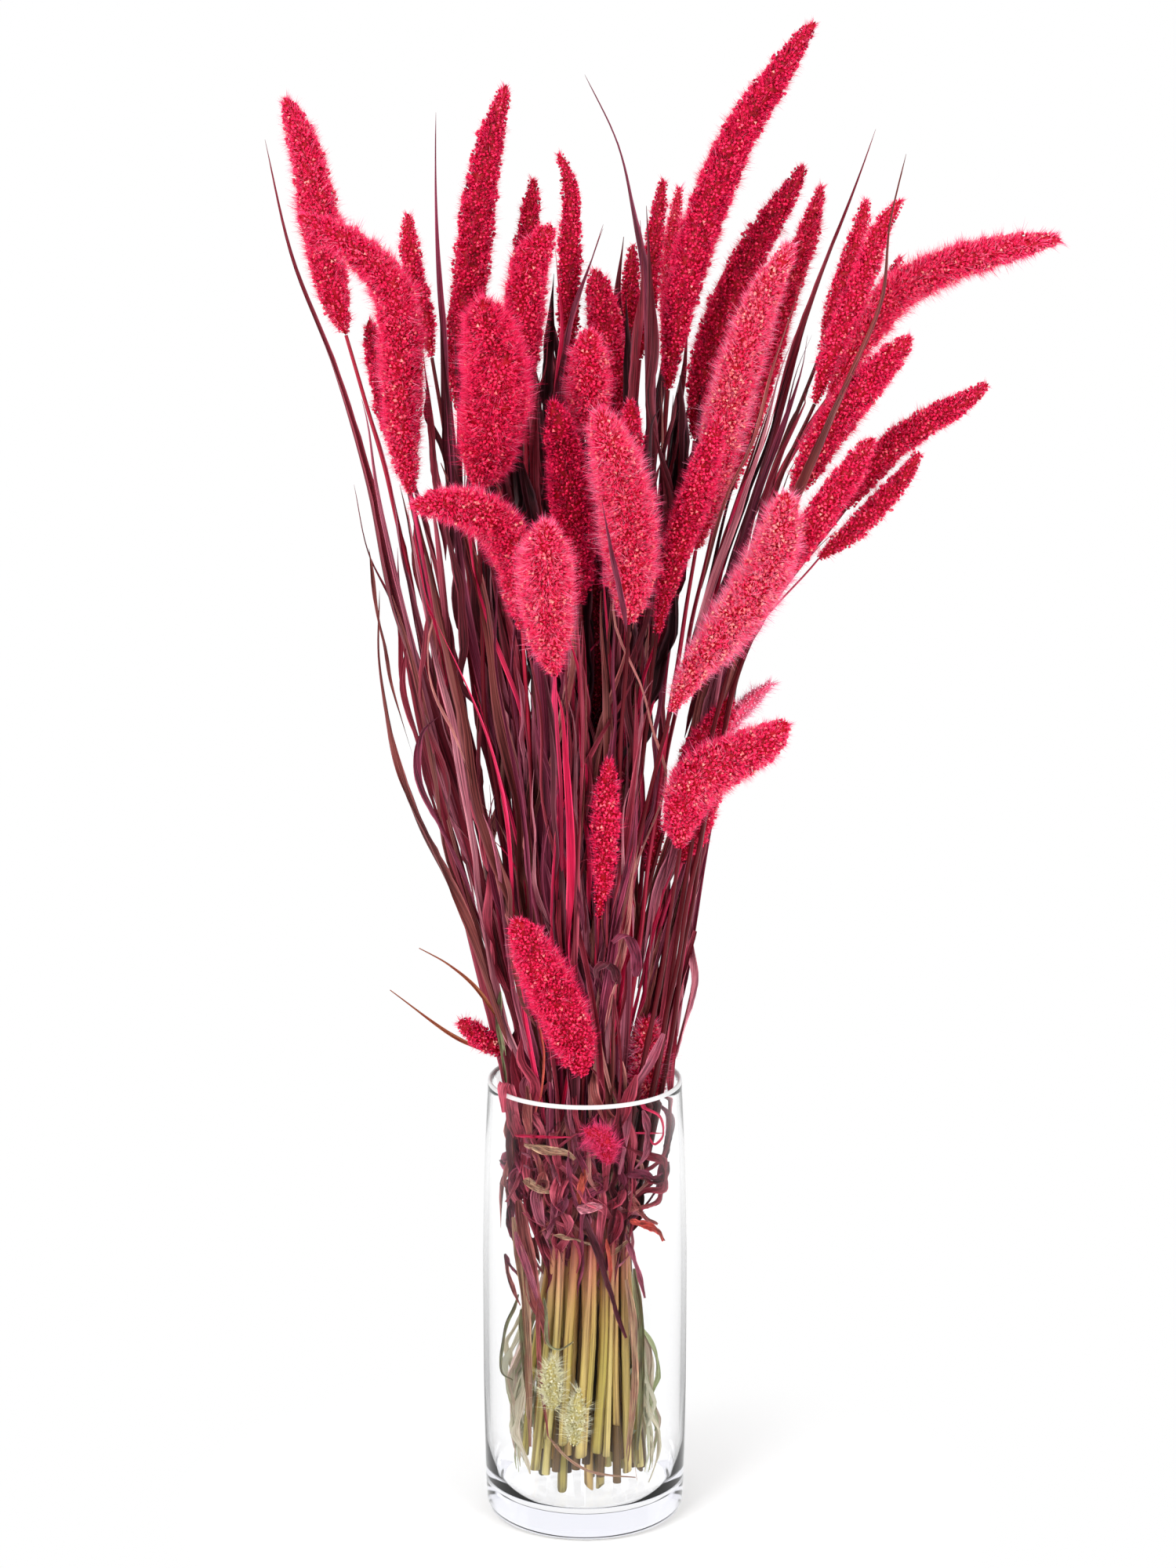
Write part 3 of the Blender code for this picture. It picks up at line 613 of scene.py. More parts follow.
# How bright and how shaggy each head is, PLAIN_LOOK for those not named.
PLAIN_LOOK = (0.48, 1.1)
# The tones are partly the dye's own and partly painted light: heads that stand in shade, such as left_shaded
# and back_shaded, have low tones, painted shade.
LOOKS = {
    "far_left": (0.52, 1.2), "left_drooping": (0.54, 1.3), "left_shaded": (0.34, 1.0),
    "left_tall": (0.38, 1.0), "left_back_slim": (0.40, 1.1), "left_bright": (0.46, 1.15),
    "left_plump": (0.46, 1.35), "centre_slim": (0.36, 1.0), "centre_front": (0.56, 1.25),
    "centre_back": (0.34, 1.0), "front_dark": (0.28, 1.05), "front_bright": (0.66, 1.4),
    "front_arching": (0.54, 1.25), "front_plump": (0.66, 1.35), "back_shaded": (0.28, 1.0),
    "middle_hidden": (0.34, 1.0), "right_tallest": (0.38, 1.1), "right_dark": (0.34, 1.1),
    "right_pink": (0.48, 1.2), "right_bright": (0.74, 1.35), "right_bristly": (0.78, 1.45),
    "right_slim": (0.34, 1.1), "right_pale": (0.60, 1.3), "far_right_curved": (0.58, 1.4),
    "low_upright": (0.44, 1.2), "low_right_long": (0.58, 1.15), "low_right_pale": (0.6, 1.6),
    "low_rim": (0.72, 1.5),
}
# Stalks at the right that stand in shade, painted dark all along: painted shade.
IN_SHADE = ("low_right_long", "low_right_red", "low_right_pale", "low_rim", "right_bristly", "right_lower")
SLIM_FOOT = ("right_bristly", "low_upright", "right_lower", "front_plump")
TAPER = np.array((0.8, 0.68, 0.88, 1.0, 1.0, 1.0, 1.0, 1.0))  # a head's foot narrows into its stem
LONG_TAPER = np.array((0.8, 0.42, 0.62, 0.86, 1.0, 1.0, 1.0, 1.0))
# Node, line on the upright plane in centimetres, depth and width in centimetres, material, slot.
LOOSE_HEADS = (
    ("millet_broken_bit", ((1.2, 19.0), (0.9, 20.3), (0.0, 20.8)), -3.3, 1.5, TORN, "dyed_millet"),
    ("millet_undyed_upper", ((-1.6, 5.6), (-1.75, 7.0), (-1.65, 8.4)), -2.6, 1.3, UNDYED, "undyed_millet"),
    ("millet_undyed_lower", ((-0.5, 3.6), (-0.45, 5.2), (-0.3, 6.6)), -2.5, 1.3, UNDYED, "undyed_millet"),
)
NODES = sorted(frame["nodes"])
LOOSE = [row[0] for row in LOOSE_HEADS]

for seed, node in enumerate(NODES, 101):
    if not node.startswith("millet") or node in LOOSE:
        continue
    random = np.random.default_rng(seed)
    name = node.removeprefix("millet_")
    centres, radii = rings_of(node, CAD_STALK_SIDES)
    sheet = Sheet()
    shade = random.uniform(0, 1)
    # painted shade: the stalks in IN_SHADE take the dark end of the culm colours; the fan's stalks are
    # darkened too
    shade *= 0.06 if name in IN_SHADE else 0.12 if name.startswith("fan") else 1.0
    culm(sheet, centres[:1 - HEAD_RINGS], radii[:1 - HEAD_RINGS], random, shade)
    radii = radii[-HEAD_RINGS:] * (LONG_TAPER if name in SLIM_FOOT else TAPER)
    head(sheet, centres[-HEAD_RINGS:], radii, random, *LOOKS.get(name, PLAIN_LOOK))
    stalk = sheet.piece(node + "_stalk", [FADED if name == "low_right_pale" else DYED, CULM])
    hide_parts(node)

for name, points, depth, width, material, slot in LOOSE_HEADS:
    random = np.random.default_rng(len(name))
    low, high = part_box(name)
    line = drawn(points, depth, depth)
    line[:, 1] += 0.5 * (low[1] + high[1]) - line[:, 1].mean() - 8 * MM
    line, _, _ = curve_through(line, HEAD_RINGS)
    full = max(0.5 * width * CM - FLUFF, 3.2 * MM)
    sheet = Sheet()
    head(sheet, line, full * np.array((0.3, 0.7, 0.93, 1.0, 0.95, 0.8, 0.55, 0.2)), random, 0.62, 2.1, 0.04)
    bit = sheet.piece(name + "_head", [material])
    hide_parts(name)


# ---------------------------------------------------------------- leaves


def ribbon(sheet, line, widths, normal, tone, random, curl, twist, wave=0.6, halves=1):
    """A leaf blade folded along its middle, each half `halves` faces wide, that faces the way of `normal`.

    It is turned by `twist` at each station. `tone` is a column of the map, 0 to 19."""
    count = len(line)
    ahead = unit(np.gradient(line, axis=0))
    side = unit(np.cross(ahead, normal))
    face = np.cross(side, ahead)
    t = np.linspace(0.0, 1.0, count)
    angle = np.broadcast_to(twist, count)
    side, face = (side * np.cos(angle)[:, None] + face * np.sin(angle)[:, None],
                  face * np.cos(angle)[:, None] - side * np.sin(angle)[:, None])
    for half in (-1.0, 1.0):
        pace, phase = random.uniform(8, 26), random.uniform(0, 6.28)
        ripple = 0.16 * wave * np.sin(t * pace + phase) + random.normal(0, 0.05 * wave, count)
        rows = []
        for x in np.linspace(0.0, half, halves + 1):
            trough = (curl * (abs(x) ** 1.5 - 0.4) + ripple * abs(x)) * widths
            rows.append(line + side * (0.5 * x * widths)[:, None] + face * trough[:, None])
        vertices, quads = loft(np.stack(rows, axis=1), closed=False)
        u = np.tile((tone + 0.5 + 0.46 * np.linspace(0.0, half, halves + 1)) / TONES, count)
        v = np.repeat(0.01 + 0.98 * t, halves + 1)
        sheet.add(vertices, quads, np.column_stack((u, v)))


BLADES = {
    "leaf_far_left": MAROON, "leaf_left_wavy": MAROON, "leaf_left_outer": UMBER, "leaf_left_purple": PURPLE,
    "leaf_centre_tall": PLUM, "leaf_centre_left": MAROON, "leaf_right_inner": MAROON,
    "leaf_right_outer": UMBER, "leaf_right_low": PALE}
for seed, node in enumerate(NODES, 101 + len(NODES)):
    if not node.startswith(("leaf", "twig")):
        continue
    random = np.random.default_rng(seed)
    centres, radii = rings_of(node, CAD_LEAF_SIDES)
    line, half, _ = curve_through(centres, LONG, radii)
    widths = 2 * half
    t = np.linspace(0, 1, LONG)
    sheet = Sheet()
    if node.startswith("twig"):
        widths = widths * np.clip(1.3 - t, 0.1, 1)
        ribbon(sheet, line, widths, (0.1, -1.0, 0.2), STRAW, random, 0.5, 0.0, 0.2, 2)
        strip = sheet.piece(node + "_dry", [LEAF])
    else:
        widths = widths * np.interp(t, (0, 0.04, 0.7, 0.97, 1.0), (0.1, 0.9, 0.8, 0.4, 0.1))
        turned = 1.1 * wave(random, t, 5, 11)
        ribbon(sheet, line, widths, (0.2, -1.0, 0.1), BLADES[node], random, 0.5, turned, 0.5, 2)
        strip = sheet.piece(node + "_blade", [LEAF])
    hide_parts(node)


# How far the crowd of leaves reaches from the vase's axis at each height: left, right, and front or back.
HEIGHTS = (0.04, 0.12, 0.15, 0.18, 0.235, 0.30, 0.35, 0.40, 0.45, 0.50, 0.55, 0.62)
LEFT = (0.024, 0.024, 0.031, 0.039, 0.044, 0.058, 0.072, 0.085, 0.095, 0.103, 0.111, 0.124)
RIGHT = (0.024, 0.023, 0.027, 0.037, 0.039, 0.045, 0.054, 0.067, 0.077, 0.089, 0.101, 0.118)
DEEP = (0.024, 0.023, 0.027, 0.033, 0.041, 0.047, 0.052, 0.058, 0.064, 0.070, 0.076, 0.084)

# Where the heads are, and how far from each point a leaf in front would cover them.
HEAD_NODES = [n for n in frame["nodes"] if n.startswith("millet")]
HEAD_SPOTS, HEAD_REACH = [], []
for node in HEAD_NODES:
    centres, radii = rings_of(node, CAD_STALK_SIDES)
    centres, radii, _ = curve_through(centres[-HEAD_RINGS:], 30, radii[-HEAD_RINGS:])
    HEAD_SPOTS.append(centres)
    HEAD_REACH.append(radii - 1 * MM if node == "millet_middle_hidden" else radii + 2 * MM)
HEAD_SPOTS, HEAD_REACH = np.concatenate(HEAD_SPOTS), np.concatenate(HEAD_REACH)


def seen_at(points):
    """Where points are seen on the upright plane: across and up."""
    ahead = -EYE[1] / (points[:, 1] - EYE[1])
    return (EYE + (points - EYE) * ahead[:, None])[:, (0, 2)]


# Where the background shows through the crowd of leaves: both ends of each gap on the upright plane.
GAPS = (
    ((-5.2, 45.3), (-5.0, 43.4)), ((-5.7, 42.1), (-5.6, 41.5)), ((-3.1, 44.7), (-2.6, 44.2)),
    ((-5.0, 40.0), (-4.9, 39.0)), ((-3.8, 39.0), (-3.5, 37.5)), ((-5.4, 36.2), (-5.1, 34.6)),
    ((4.3, 44.6), (4.6, 43.2)), ((4.9, 48.6), (5.1, 46.8)), ((2.9, 33.8), (3.0, 32.5)),
    ((3.1, 40.5), (3.3, 39.2)), ((-4.2, 27.8), (-3.7, 26.4)), ((-4.3, 19.6), (-4.2, 19.3)),
    ((2.6, 19.8), (2.7, 19.6)), ((3.2, 19.6), (3.4, 19.2)), ((3.1, 17.1), (3.4, 17.1)),
    ((-2.9, 15.8), (-2.8, 15.2)), ((-3.6, 14.2), (-3.5, 14.0)))
GAP_SPOTS = np.concatenate([np.linspace(a, b, 6) for a, b in GAPS]) * CM
GAP_REACH = 2.4 * MM


def knots_along(random, count):
    """Where a leaf bends: its ends and a few random places between."""
    return np.sort(np.concatenate(((0.0, 1.0), random.uniform(0, 1, count))))


def eased(t, knots, values):
    """Values given at `knots`, carried to t with their sharp corners eased."""
    values = carried(t, knots, values)
    for _ in range(2):
        values = np.concatenate((values[:1], (values[:-2] + 2 * values[1:-1] + values[2:]) / 4, values[-1:]))
    return values


def keep_inside(line, reach):
    """Pulls in the part of a line that is below the rim, to stay inside the glass."""
    below = line[:, 2] < RIM
    out = np.hypot(line[below, 0], line[below, 1])
    line[below, :2] *= np.minimum(1.0, reach / out)[:, None]


def hides_head(line, most=0.08):
    """Whether a leaf's line closes a gap, or more than `most` of it is in front of the seed heads."""
    seen = seen_at(line)[:, None]
    if np.linalg.norm(seen - GAP_SPOTS[None], axis=2).min() < GAP_REACH:
        return True
    apart = np.linalg.norm(seen - seen_at(HEAD_SPOTS)[None], axis=2)
    over = (apart < HEAD_REACH[None]) & (line[:, 1][:, None] < HEAD_SPOTS[:, 1][None])
    return over.any(1).mean() > most


def wild_leaf(sheet, random, turn, start, length, width, layer, tone, drift=0.10, kinks=1.8, most=0.08):
    """A leaf of the crowd, limp, creased and twisted, up or down the bunch from the height `start`.

    `layer` is how far out it lies, 1 at the crowd's edge, `drift` how far round it wanders and `kinks` how
    far it is bent aside, in millimetres. A leaf that hides_head objects to isn't made, which gives False."""
    t = np.linspace(0.0, 1.0, LIMP)
    z = start + length * t
    turns = turn + random.normal(0, drift) * t
    turns = turns + random.normal(0, 0.4 * drift) * np.sin(t * random.uniform(5, 12))
    wide = np.where(np.cos(turns) < 0, np.interp(z, HEIGHTS, LEFT), np.interp(z, HEIGHTS, RIGHT))
    deep = np.interp(z, HEIGHTS, DEEP)
    layers = layer * (1.0 + 0.05 * wave(random, t, 3, 9))
    layers *= np.interp(t, (0, 0.12, 1), (0.85, 1.0, 1.0))
    line = np.column_stack((np.cos(turns) * wide * layers, np.sin(turns) * deep * layers, z))
    knots = knots_along(random, 6)
    line += eased(t, knots, random.normal(0, kinks * MM, (8, 3)) * (1, 1, 0))
    radial = unit(toward(turn, 0.25))
    if random.random() < 0.12:
        sag = np.clip(t - random.uniform(0.6, 0.85), 0, 1) ** 2 * abs(length)
        line[:, 2] -= sag
        line += radial * (0.25 * sag)[:, None]
    keep_inside(line, NEAR_GLASS)
    if hides_head(line, most):
        return False
    widths = width * np.interp(t, (0, 0.08, 0.5, 0.85, 1.0), (0.15, 0.9, 1.0, 0.6, 0.06))
    widths *= 1.0 + 0.2 * wave(random, t, 10, 26)
    bend = random.uniform(-1.2, 1.2) + random.uniform(-1.8, 1.8) * t
    bend += random.uniform(0.2, 1.0) * wave(random, t, 4, 13)
    ribbon(sheet, line, widths, radial, tone, random, random.uniform(0.1, 0.9), bend)
    return True


def leaf_tone(random, layer, lift=0.0):
    """Near black and dark inside the bunch, painted shade. Outside mostly maroon and plum, some brown, some
    the dye's magenta.

    `lift` gives more of the pale ones."""
    kind = random.random()
    if kind < 0.12:
        return random.choice((MAGENTA, MAGENTA, BRIGHT))
    # leaves deep in the bunch are painted near black and dark: painted shade
    if layer < 0.56:
        return random.choice((SHADE_BLACK, SHADE_BLACK, DARK, SLATE))
    if kind < 0.46 - lift:
        return random.choice((MAROON, MAROON, SLATE, UMBER, PLUM))
    if kind < 0.85 - 0.5 * lift:
        return random.choice((MAROON, ROSE, ROSE, PLUM, PURPLE, PURPLE, BROWN, UMBER))
    return random.choice((PINK, MAUVE, MAUVE, PALE, BEIGE))


def slim_if_pale(random, tone, thin, broad):
    """A width in millimetres, small for the pale tones."""
    return random.uniform(2.0, 3.2) if tone in (PALE, BEIGE, TAN) else random.uniform(thin, broad)


def crowd_leaf(sheet, random, middle):
    """One long leaf near the direction `middle`. At the sides they gather in bundles with gaps between."""
    start = random.choice((random.uniform(0.15, 0.24), random.uniform(0.20, 0.38)))
    length = np.clip(random.uniform(0.36, 0.60) - start, 0.12, 0.30)
    aside = abs(math.cos(middle)) > 0.65
    layer = 1.0 - 0.7 * random.random() ** (0.6 if aside else 1.1)
    turn = middle + random.uniform(-0.45, 0.45)
    across = math.cos(turn) * layer
    drift, kinks = random.choice((0.06, 0.2, 0.46)), random.uniform(1.2, 3.2)
    if abs(across) > 0.5:
        nearest = BUNDLES[np.abs(BUNDLES - across).argmin()] + random.normal(0, 0.012)
        layer = min(layer * nearest / across, 1.04)
        drift, kinks = random.choice((0.03, 0.08)), random.uniform(0.6, 1.8)
    tone = leaf_tone(random, layer + 0.2, 0.26) if aside else leaf_tone(random, layer)
    width = random.choice((random.uniform(1.6, 3.8), random.uniform(3.0, 8.0)))
    if tone in (MAGENTA, BRIGHT):
        width = min(width, 2.4)
    elif tone in (PALE, MAUVE, BEIGE):
        width = min(width, 4.2)
    return wild_leaf(sheet, random, turn, start, length, width * MM, layer, tone, drift, kinks)


def dark_blade(sheet, random, middle):
    """One blade up among the heads, painted near black to dark for the shade there."""
    start = random.uniform(0.38, 0.46)
    turn, length = middle + random.uniform(-0.45, 0.45), random.uniform(0.10, 0.17)
    width, layer = random.uniform(3.0, 7.0) * MM, random.uniform(0.1, 0.8)
    return wild_leaf(sheet, random, turn, start, length, width, layer, random.choice((SHADE_BLACK, DARK)))


def waist_ribbon(sheet, random, middle):
    """One limp ribbon, hanging and wound round the stems at the vase's waist."""
    start = random.uniform(0.18, 0.26)
    layer = random.uniform(0.6, 1.0)
    # the inner ribbons are painted near black and dark: painted shade
    tone = random.choice((SHADE_BLACK, DARK, SLATE) if layer < 0.78 else
                         (ROSE, PINK, PURPLE, MAUVE, BROWN, PALE, BEIGE, BROWN, ROSE, TAN))
    width = slim_if_pale(random, tone, 2.4, 6.5) * MM
    turn, length = middle + random.uniform(-0.5, 0.5), random.uniform(0.12, 0.168) - start
    wild_leaf(sheet, random, turn, start, length, width, layer, tone, random.choice((0.15, 0.6)), 2.2)


# Name, direction and number of leaves.
GROUPS = (("leaves_front_left", -2.35, 68), ("leaves_front", -1.57, 130), ("leaves_front_right", -0.8, 66),
          ("leaves_right", 0.0, 24), ("leaves_back_right", 0.8, 26), ("leaves_back", 1.57, 60),
          ("leaves_back_left", 2.35, 26), ("leaves_left", 3.14, 24))
BUNDLES = np.array((-1.0, -0.89, -0.74, -0.60, 0.62, 0.78, 0.96))  # across, as a share of the width
TRIES = range(8)  # a leaf that isn't made is tried again, up to eight times
random = np.random.default_rng(11)
for name, middle, many in GROUPS:
    sheet = Sheet()
    for _ in range(many):
        any(crowd_leaf(sheet, random, middle) for _ in TRIES)
    for _ in range(many // 5):
        any(dark_blade(sheet, random, middle) for _ in TRIES)
    for _ in range(int(many * 0.32)):
        waist_ribbon(sheet, random, middle)
    sheet.piece(name, [LEAF])

sheet = Sheet()
# painted shade: near-black and dark leaves fill the crown behind the heads
for _ in range(190):  # the dark mass behind the heads in the middle
    start = random.uniform(0.36, 0.47)
    turn, length = random.uniform(0.3, 2.84), min(random.uniform(0.10, 0.18), 0.615 - start)
    width, layer = random.uniform(3.0, 9.0) * MM, 0.62 * random.random() ** 0.7
    tone = random.choice((SHADE_BLACK, SHADE_BLACK, DARK, SLATE, MAROON))
    wild_leaf(sheet, random, turn, start, length, width, layer, tone, 0.14, 1.8, 0.5)
sheet.piece("leaves_crown", [LEAF])

sheet = Sheet()
for k in range(100):  # broad limp ribbons just inside the glass, mostly hanging
    turn = random.uniform(-3.14, -0.5) if k < 75 else random.uniform(0.6, 3.14)
    start = random.uniform(0.19, 0.27)
    tone = random.choice((ROSE, PINK, PURPLE, MAUVE, BROWN, ROSE, BEIGE, PINK, TAN, MAUVE, BROWN, DARK))
    width = slim_if_pale(random, tone, 3.0, 7.0) * MM
    length, layer = random.uniform(0.12, 0.175) - start, random.uniform(0.88, 1.02)
    drift, kinks = random.choice((0.1, 0.25, 0.6)), random.uniform(1.5, 3.5)
    wild_leaf(sheet, random, turn, start, length, width, layer, tone, drift, kinks)
sheet.piece("leaves_under_rim", [LEAF])

sheet = Sheet()
for node in HEAD_NODES:  # blades that run up beside their own stem
    stem_points = rings_of(node, CAD_STALK_SIDES)[0][:1 - HEAD_RINGS]
    if len(stem_points) < 6:
        continue
    stem_points, _, _ = curve_through(stem_points, DRAWN)
    tip = stem_points[-1]
    outer = abs(tip[0]) > 0.055
    for _ in range(5 if outer else 3):
        top = tip[2] - random.uniform(-0.01, 0.10)
        low = max(top - random.uniform(0.12, 0.26), 0.25)
        if top - low < 0.06:
            continue
        t = np.linspace(0.0, 1.0, LIMP)
        z = low + (top - low) * t
        line = np.column_stack((carried(z, stem_points[:, 2], stem_points[:, :2]), z))
        knots = knots_along(random, 5)
        shift = random.normal(0, 3.2 * MM, (1, 2))
        line[:, :2] += eased(t, knots, shift + random.normal(0, 1.8 * MM, (7, 2)))
        line[:, 1] -= random.uniform(-1.0, 4.0) * MM
        if hides_head(line, 0.06):
            continue
        width = random.uniform(2.2, 6.0) * MM
        width = width * np.interp(t, (0, 0.1, 0.6, 0.9, 1.0), (0.7, 1.0, 0.9, 0.5, 0.06))
        bend = random.uniform(-1.2, 1.2) + random.uniform(-1.5, 1.5) * t
        bend += 0.6 * np.sin(t * random.uniform(4, 12))
        tone = leaf_tone(random, 0.6 if outer else 0.48 + 0.5 * random.random(), 0.15)
        ribbon(sheet, line, width, VIEWER, tone, random, 0.5, bend)
sheet.piece("leaves_on_stems", [LEAF])


# ---------------------------------------------------------------- leaves drawn one by one

# Drawn on the upright plane: points, depth at each end in centimetres, width in millimetres, column, twist.
KNOTTED = (
    (((-3.2, 19.7), (-2.5, 19.6), (-1.7, 19.3), (-0.9, 19.2), (-0.5, 18.9)), -3.6, -3.9, 5.0, TAN, 0.8),
    (((-0.8, 19.3), (-0.8, 18.3), (-0.7, 17.3), (-0.4, 16.4), (0.1, 15.8)), -3.9, -3.3, 3.0, PURPLE, 1.4),
    (((-3.5, 21.3), (-3.2, 19.9), (-3.2, 18.6), (-3.6, 17.4), (-4.0, 16.6)), -3.0, -2.2, 4.5, PINK, 1.0),
    (((-3.1, 17.8), (-2.4, 17.4), (-1.7, 17.1)), -2.8, -3.4, 4.5, TAN, 0.4),
    (((-3.2, 19.3), (-2.5, 19.0), (-2.2, 18.6), (-2.6, 18.4), (-3.1, 18.6)), -2.9, -2.9, 3.0, MAUVE, 1.0),
    (((-0.4, 16.3), (0.2, 16.3), (0.9, 16.4)), -3.7, -3.4, 5.5, PALE, 0.3),
    (((-1.9, 14.4), (-1.6, 14.6), (-0.9, 14.4), (-0.1, 14.2), (0.6, 14.0), (1.5, 13.9), (2.2, 14.5)),
     -2.0, -2.4, 4.5, TAN, 0.5),
    (((-1.6, 14.8), (-0.9, 14.7), (-0.1, 14.5), (0.7, 14.2)), -3.1, -3.0, 2.5, TAN, 1.2),
    (((-0.9, 17.4), (-1.3, 16.2), (-1.6, 15.6), (-1.9, 15.1)), -3.6, -3.3, 6.0, PLUM, 1.9),
    (((0.0, 18.4), (-0.2, 17.4), (-0.3, 16.5)), -3.5, -3.3, 4.0, ORANGE, 0.2),
    (((5.6, 31.0), (5.0, 28.5), (4.6, 26.2), (4.35, 24.4), (4.3, 23.6), (4.3, 21.7), (4.2, 19.9),
      (3.7, 18.8), (2.7, 18.2), (2.2, 18.4)), 0.4, -2.2, 5.5, ROSE, 1.2),
    (((2.2, 21.9), (3.3, 21.5), (3.8, 21.1), (3.9, 20.2), (3.5, 19.7), (3.2, 20.2), (2.9, 21.2)),
     -2.4, -2.4, 1.4, BRIGHT, 0.5),
    (((2.4, 20.3), (3.9, 20.3)), -2.4, -1.8, 1.0, BRIGHT, 0.1),
    (((2.4, 18.3), (3.4, 17.7), (3.9, 17.8), (4.1, 18.2), (4.1, 19.0)), -2.4, -1.2, 3.5, MAROON, 1.5),
    (((1.7, 16.0), (2.9, 16.4), (3.7, 16.6), (4.0, 17.2)), -2.8, -1.4, 3.0, BROWN, 1.5),
    (((2.4, 17.2), (3.1, 17.4), (3.9, 18.0)), -2.2, -1.4, 2.2, ROSE, 0.7),
    (((1.8, 15.2), (2.6, 15.9), (3.4, 16.9), (3.9, 18.1)), -2.0, -1.0, 2.6, PLUM, 1.2),
    (((2.3, 15.6), (2.7, 15.4), (3.3, 15.3), (3.8, 15.0), (4.0, 14.5)), -2.4, -2.0, 4.5, RUST, 0.9),
    (((2.1, 14.9), (2.5, 13.4), (2.9, 12.2), (3.1, 11.4)), -2.2, -1.6, 3.4, MAUVE, 0.8),
    (((-4.1, 13.8), (-4.0, 12.8), (-3.7, 12.0), (-3.3, 11.0)), -1.0, -1.6, 2.8, BROWN, 1.0),
    (((-4.1, 13.8), (-3.8, 13.2), (-3.3, 12.6), (-3.0, 12.2)), -1.0, -1.6, 2.4, PLUM, 1.0),
    (((-0.2, 16.2), (0.2, 15.0), (0.8, 13.6), (1.3, 12.0), (1.7, 10.4), (2.1, 9.2)),
     -3.4, -2.8, 4.2, SLATE, 1.0),
    (((-3.4, 16.7), (-3.2, 15.0), (-2.9, 13.2), (-2.6, 11.4), (-2.1, 10.2), (-1.9, 8.9)),
     -2.2, -2.6, 8.0, BROWN, 0.5),
    (((-4.0, 17.8), (-3.9, 16.4), (-3.8, 15.4), (-3.5, 14.2)), -1.0, -1.2, 5.0, PLUM, 1.4),
    (((-3.6, 20.2), (-2.1, 20.1), (-0.7, 20.1)), -3.0, -3.9, 1.6, MAGENTA, 0.2),
    (((-4.3, 27.8), (-4.4, 26.2), (-4.2, 24.8), (-4.0, 22.6)), -2.4, -1.4, 3.0, OLIVE, 0.2),
    (((-2.4, 26.4), (-2.1, 24.6), (-2.2, 22.6), (-2.5, 21.4)), -4.4, -3.4, 1.2, ORANGE, 0.2),
    (((1.1, 14.6), (1.3, 13.0), (1.2, 11.8)), -3.0, -2.9, 2.0, ORANGE, 0.2),
    (((-3.6, 15.8), (-3.1, 11.5), (-2.9, 7.2), (-2.8, 3.2)), -2.6, -2.5, 4.5, TAN, 0.5),
    (((-3.5, 15.0), (-2.9, 12.9), (-2.3, 10.8)), -2.7, -2.9, 4.0, MAUVE, 0.6),
    (((-3.2, 10.8), (-2.9, 6.6), (-2.8, 4.3)), -2.3, -2.3, 5.0, OLIVE, 0.4),
    (((-2.4, 11.4), (-2.3, 7.4), (-1.9, 3.8)), -2.9, -3.2, 2.4, BROWN, 0.4),
    (((2.1, 12.4), (2.4, 10.1), (2.5, 6.4), (2.2, 2.4)), -2.2, -2.0, 4.5, TAN, 0.6),
    (((2.5, 13.0), (2.9, 9.6), (2.9, 6.0), (2.7, 3.0)), -1.4, -1.4, 4.0, OLIVE, 0.6),
    (((-2.1, 11.4), (-2.0, 10.4), (-1.9, 9.0), (-1.3, 8.6), (-0.6, 9.0)), -3.2, -3.4, 2.0, OLIVE, 0.5),
    (((-3.4, 11.6), (-3.6, 10.9), (-4.1, 9.7), (-4.3, 7.5), (-3.7, 6.9)), -1.4, -1.2, 2.0, OLIVE, 0.5),
    (((-1.9, 3.8), (-1.0, 2.7), (0.1, 1.9), (1.3, 1.6), (2.6, 1.5)), -3.4, -3.6, 1.5, TAN, 0.2),
    (((-1.9, 21.6), (-1.8, 19.4), (-1.5, 17.4), (-1.6, 15.6), (-1.9, 14.6)), -3.5, -3.2, 5.5, MAUVE, 0.9),
    (((2.6, 23.4), (2.0, 21.4), (1.2, 19.2), (1.0, 17.2)), -3.4, -3.4, 6.5, ROSE, 0.8),
    (((-3.0, 22.8), (-2.8, 20.6), (-2.2, 18.4), (-2.3, 16.6)), -3.2, -3.0, 5.0, BROWN, 1.0),
    (((0.6, 18.2), (0.9, 16.4), (0.8, 14.6), (1.1, 13.0)), -3.3, -3.0, 4.5, PINK, 0.8),
)
# Loose loops at the right, between the bunch and the glass.
LOOPED = (
    (((2.2, 19.5), (3.0, 19.2), (3.8, 18.9), (4.3, 18.6), (4.4, 17.8), (4.0, 17.3), (3.1, 17.2),
      (2.3, 16.6)), -2.8, -2.2, 4.4, MAROON, 1.0),
    (((1.6, 15.4), (2.3, 16.2), (3.1, 16.4), (3.7, 16.8), (3.9, 17.7)), -2.8, -1.6, 4.0, ROSE, 0.9),
    (((2.1, 18.1), (2.9, 18.1), (3.6, 17.8), (4.1, 18.1), (4.2, 18.8)), -3.0, -1.0, 4.8, PLUM, 1.1),
    (((2.2, 17.1), (3.0, 15.9), (3.7, 15.4)), -2.6, -2.0, 3.6, BROWN, 0.8),
    (((4.0, 25.6), (3.5, 24.3), (2.7, 22.8), (2.2, 21.7), (2.0, 19.8), (1.7, 18.1)),
     -2.6, -3.6, 5.0, MAUVE, 0.7),
    (((2.9, 21.5), (3.2, 20.5), (3.1, 19.3), (2.5, 18.4)), -2.8, -3.0, 4.0, MAUVE, 0.9),
    (((3.8, 21.8), (4.3, 21.0), (4.2, 19.5), (3.8, 18.1), (3.7, 17.1)), -1.0, -1.6, 4.2, PURPLE, 1.0),
)
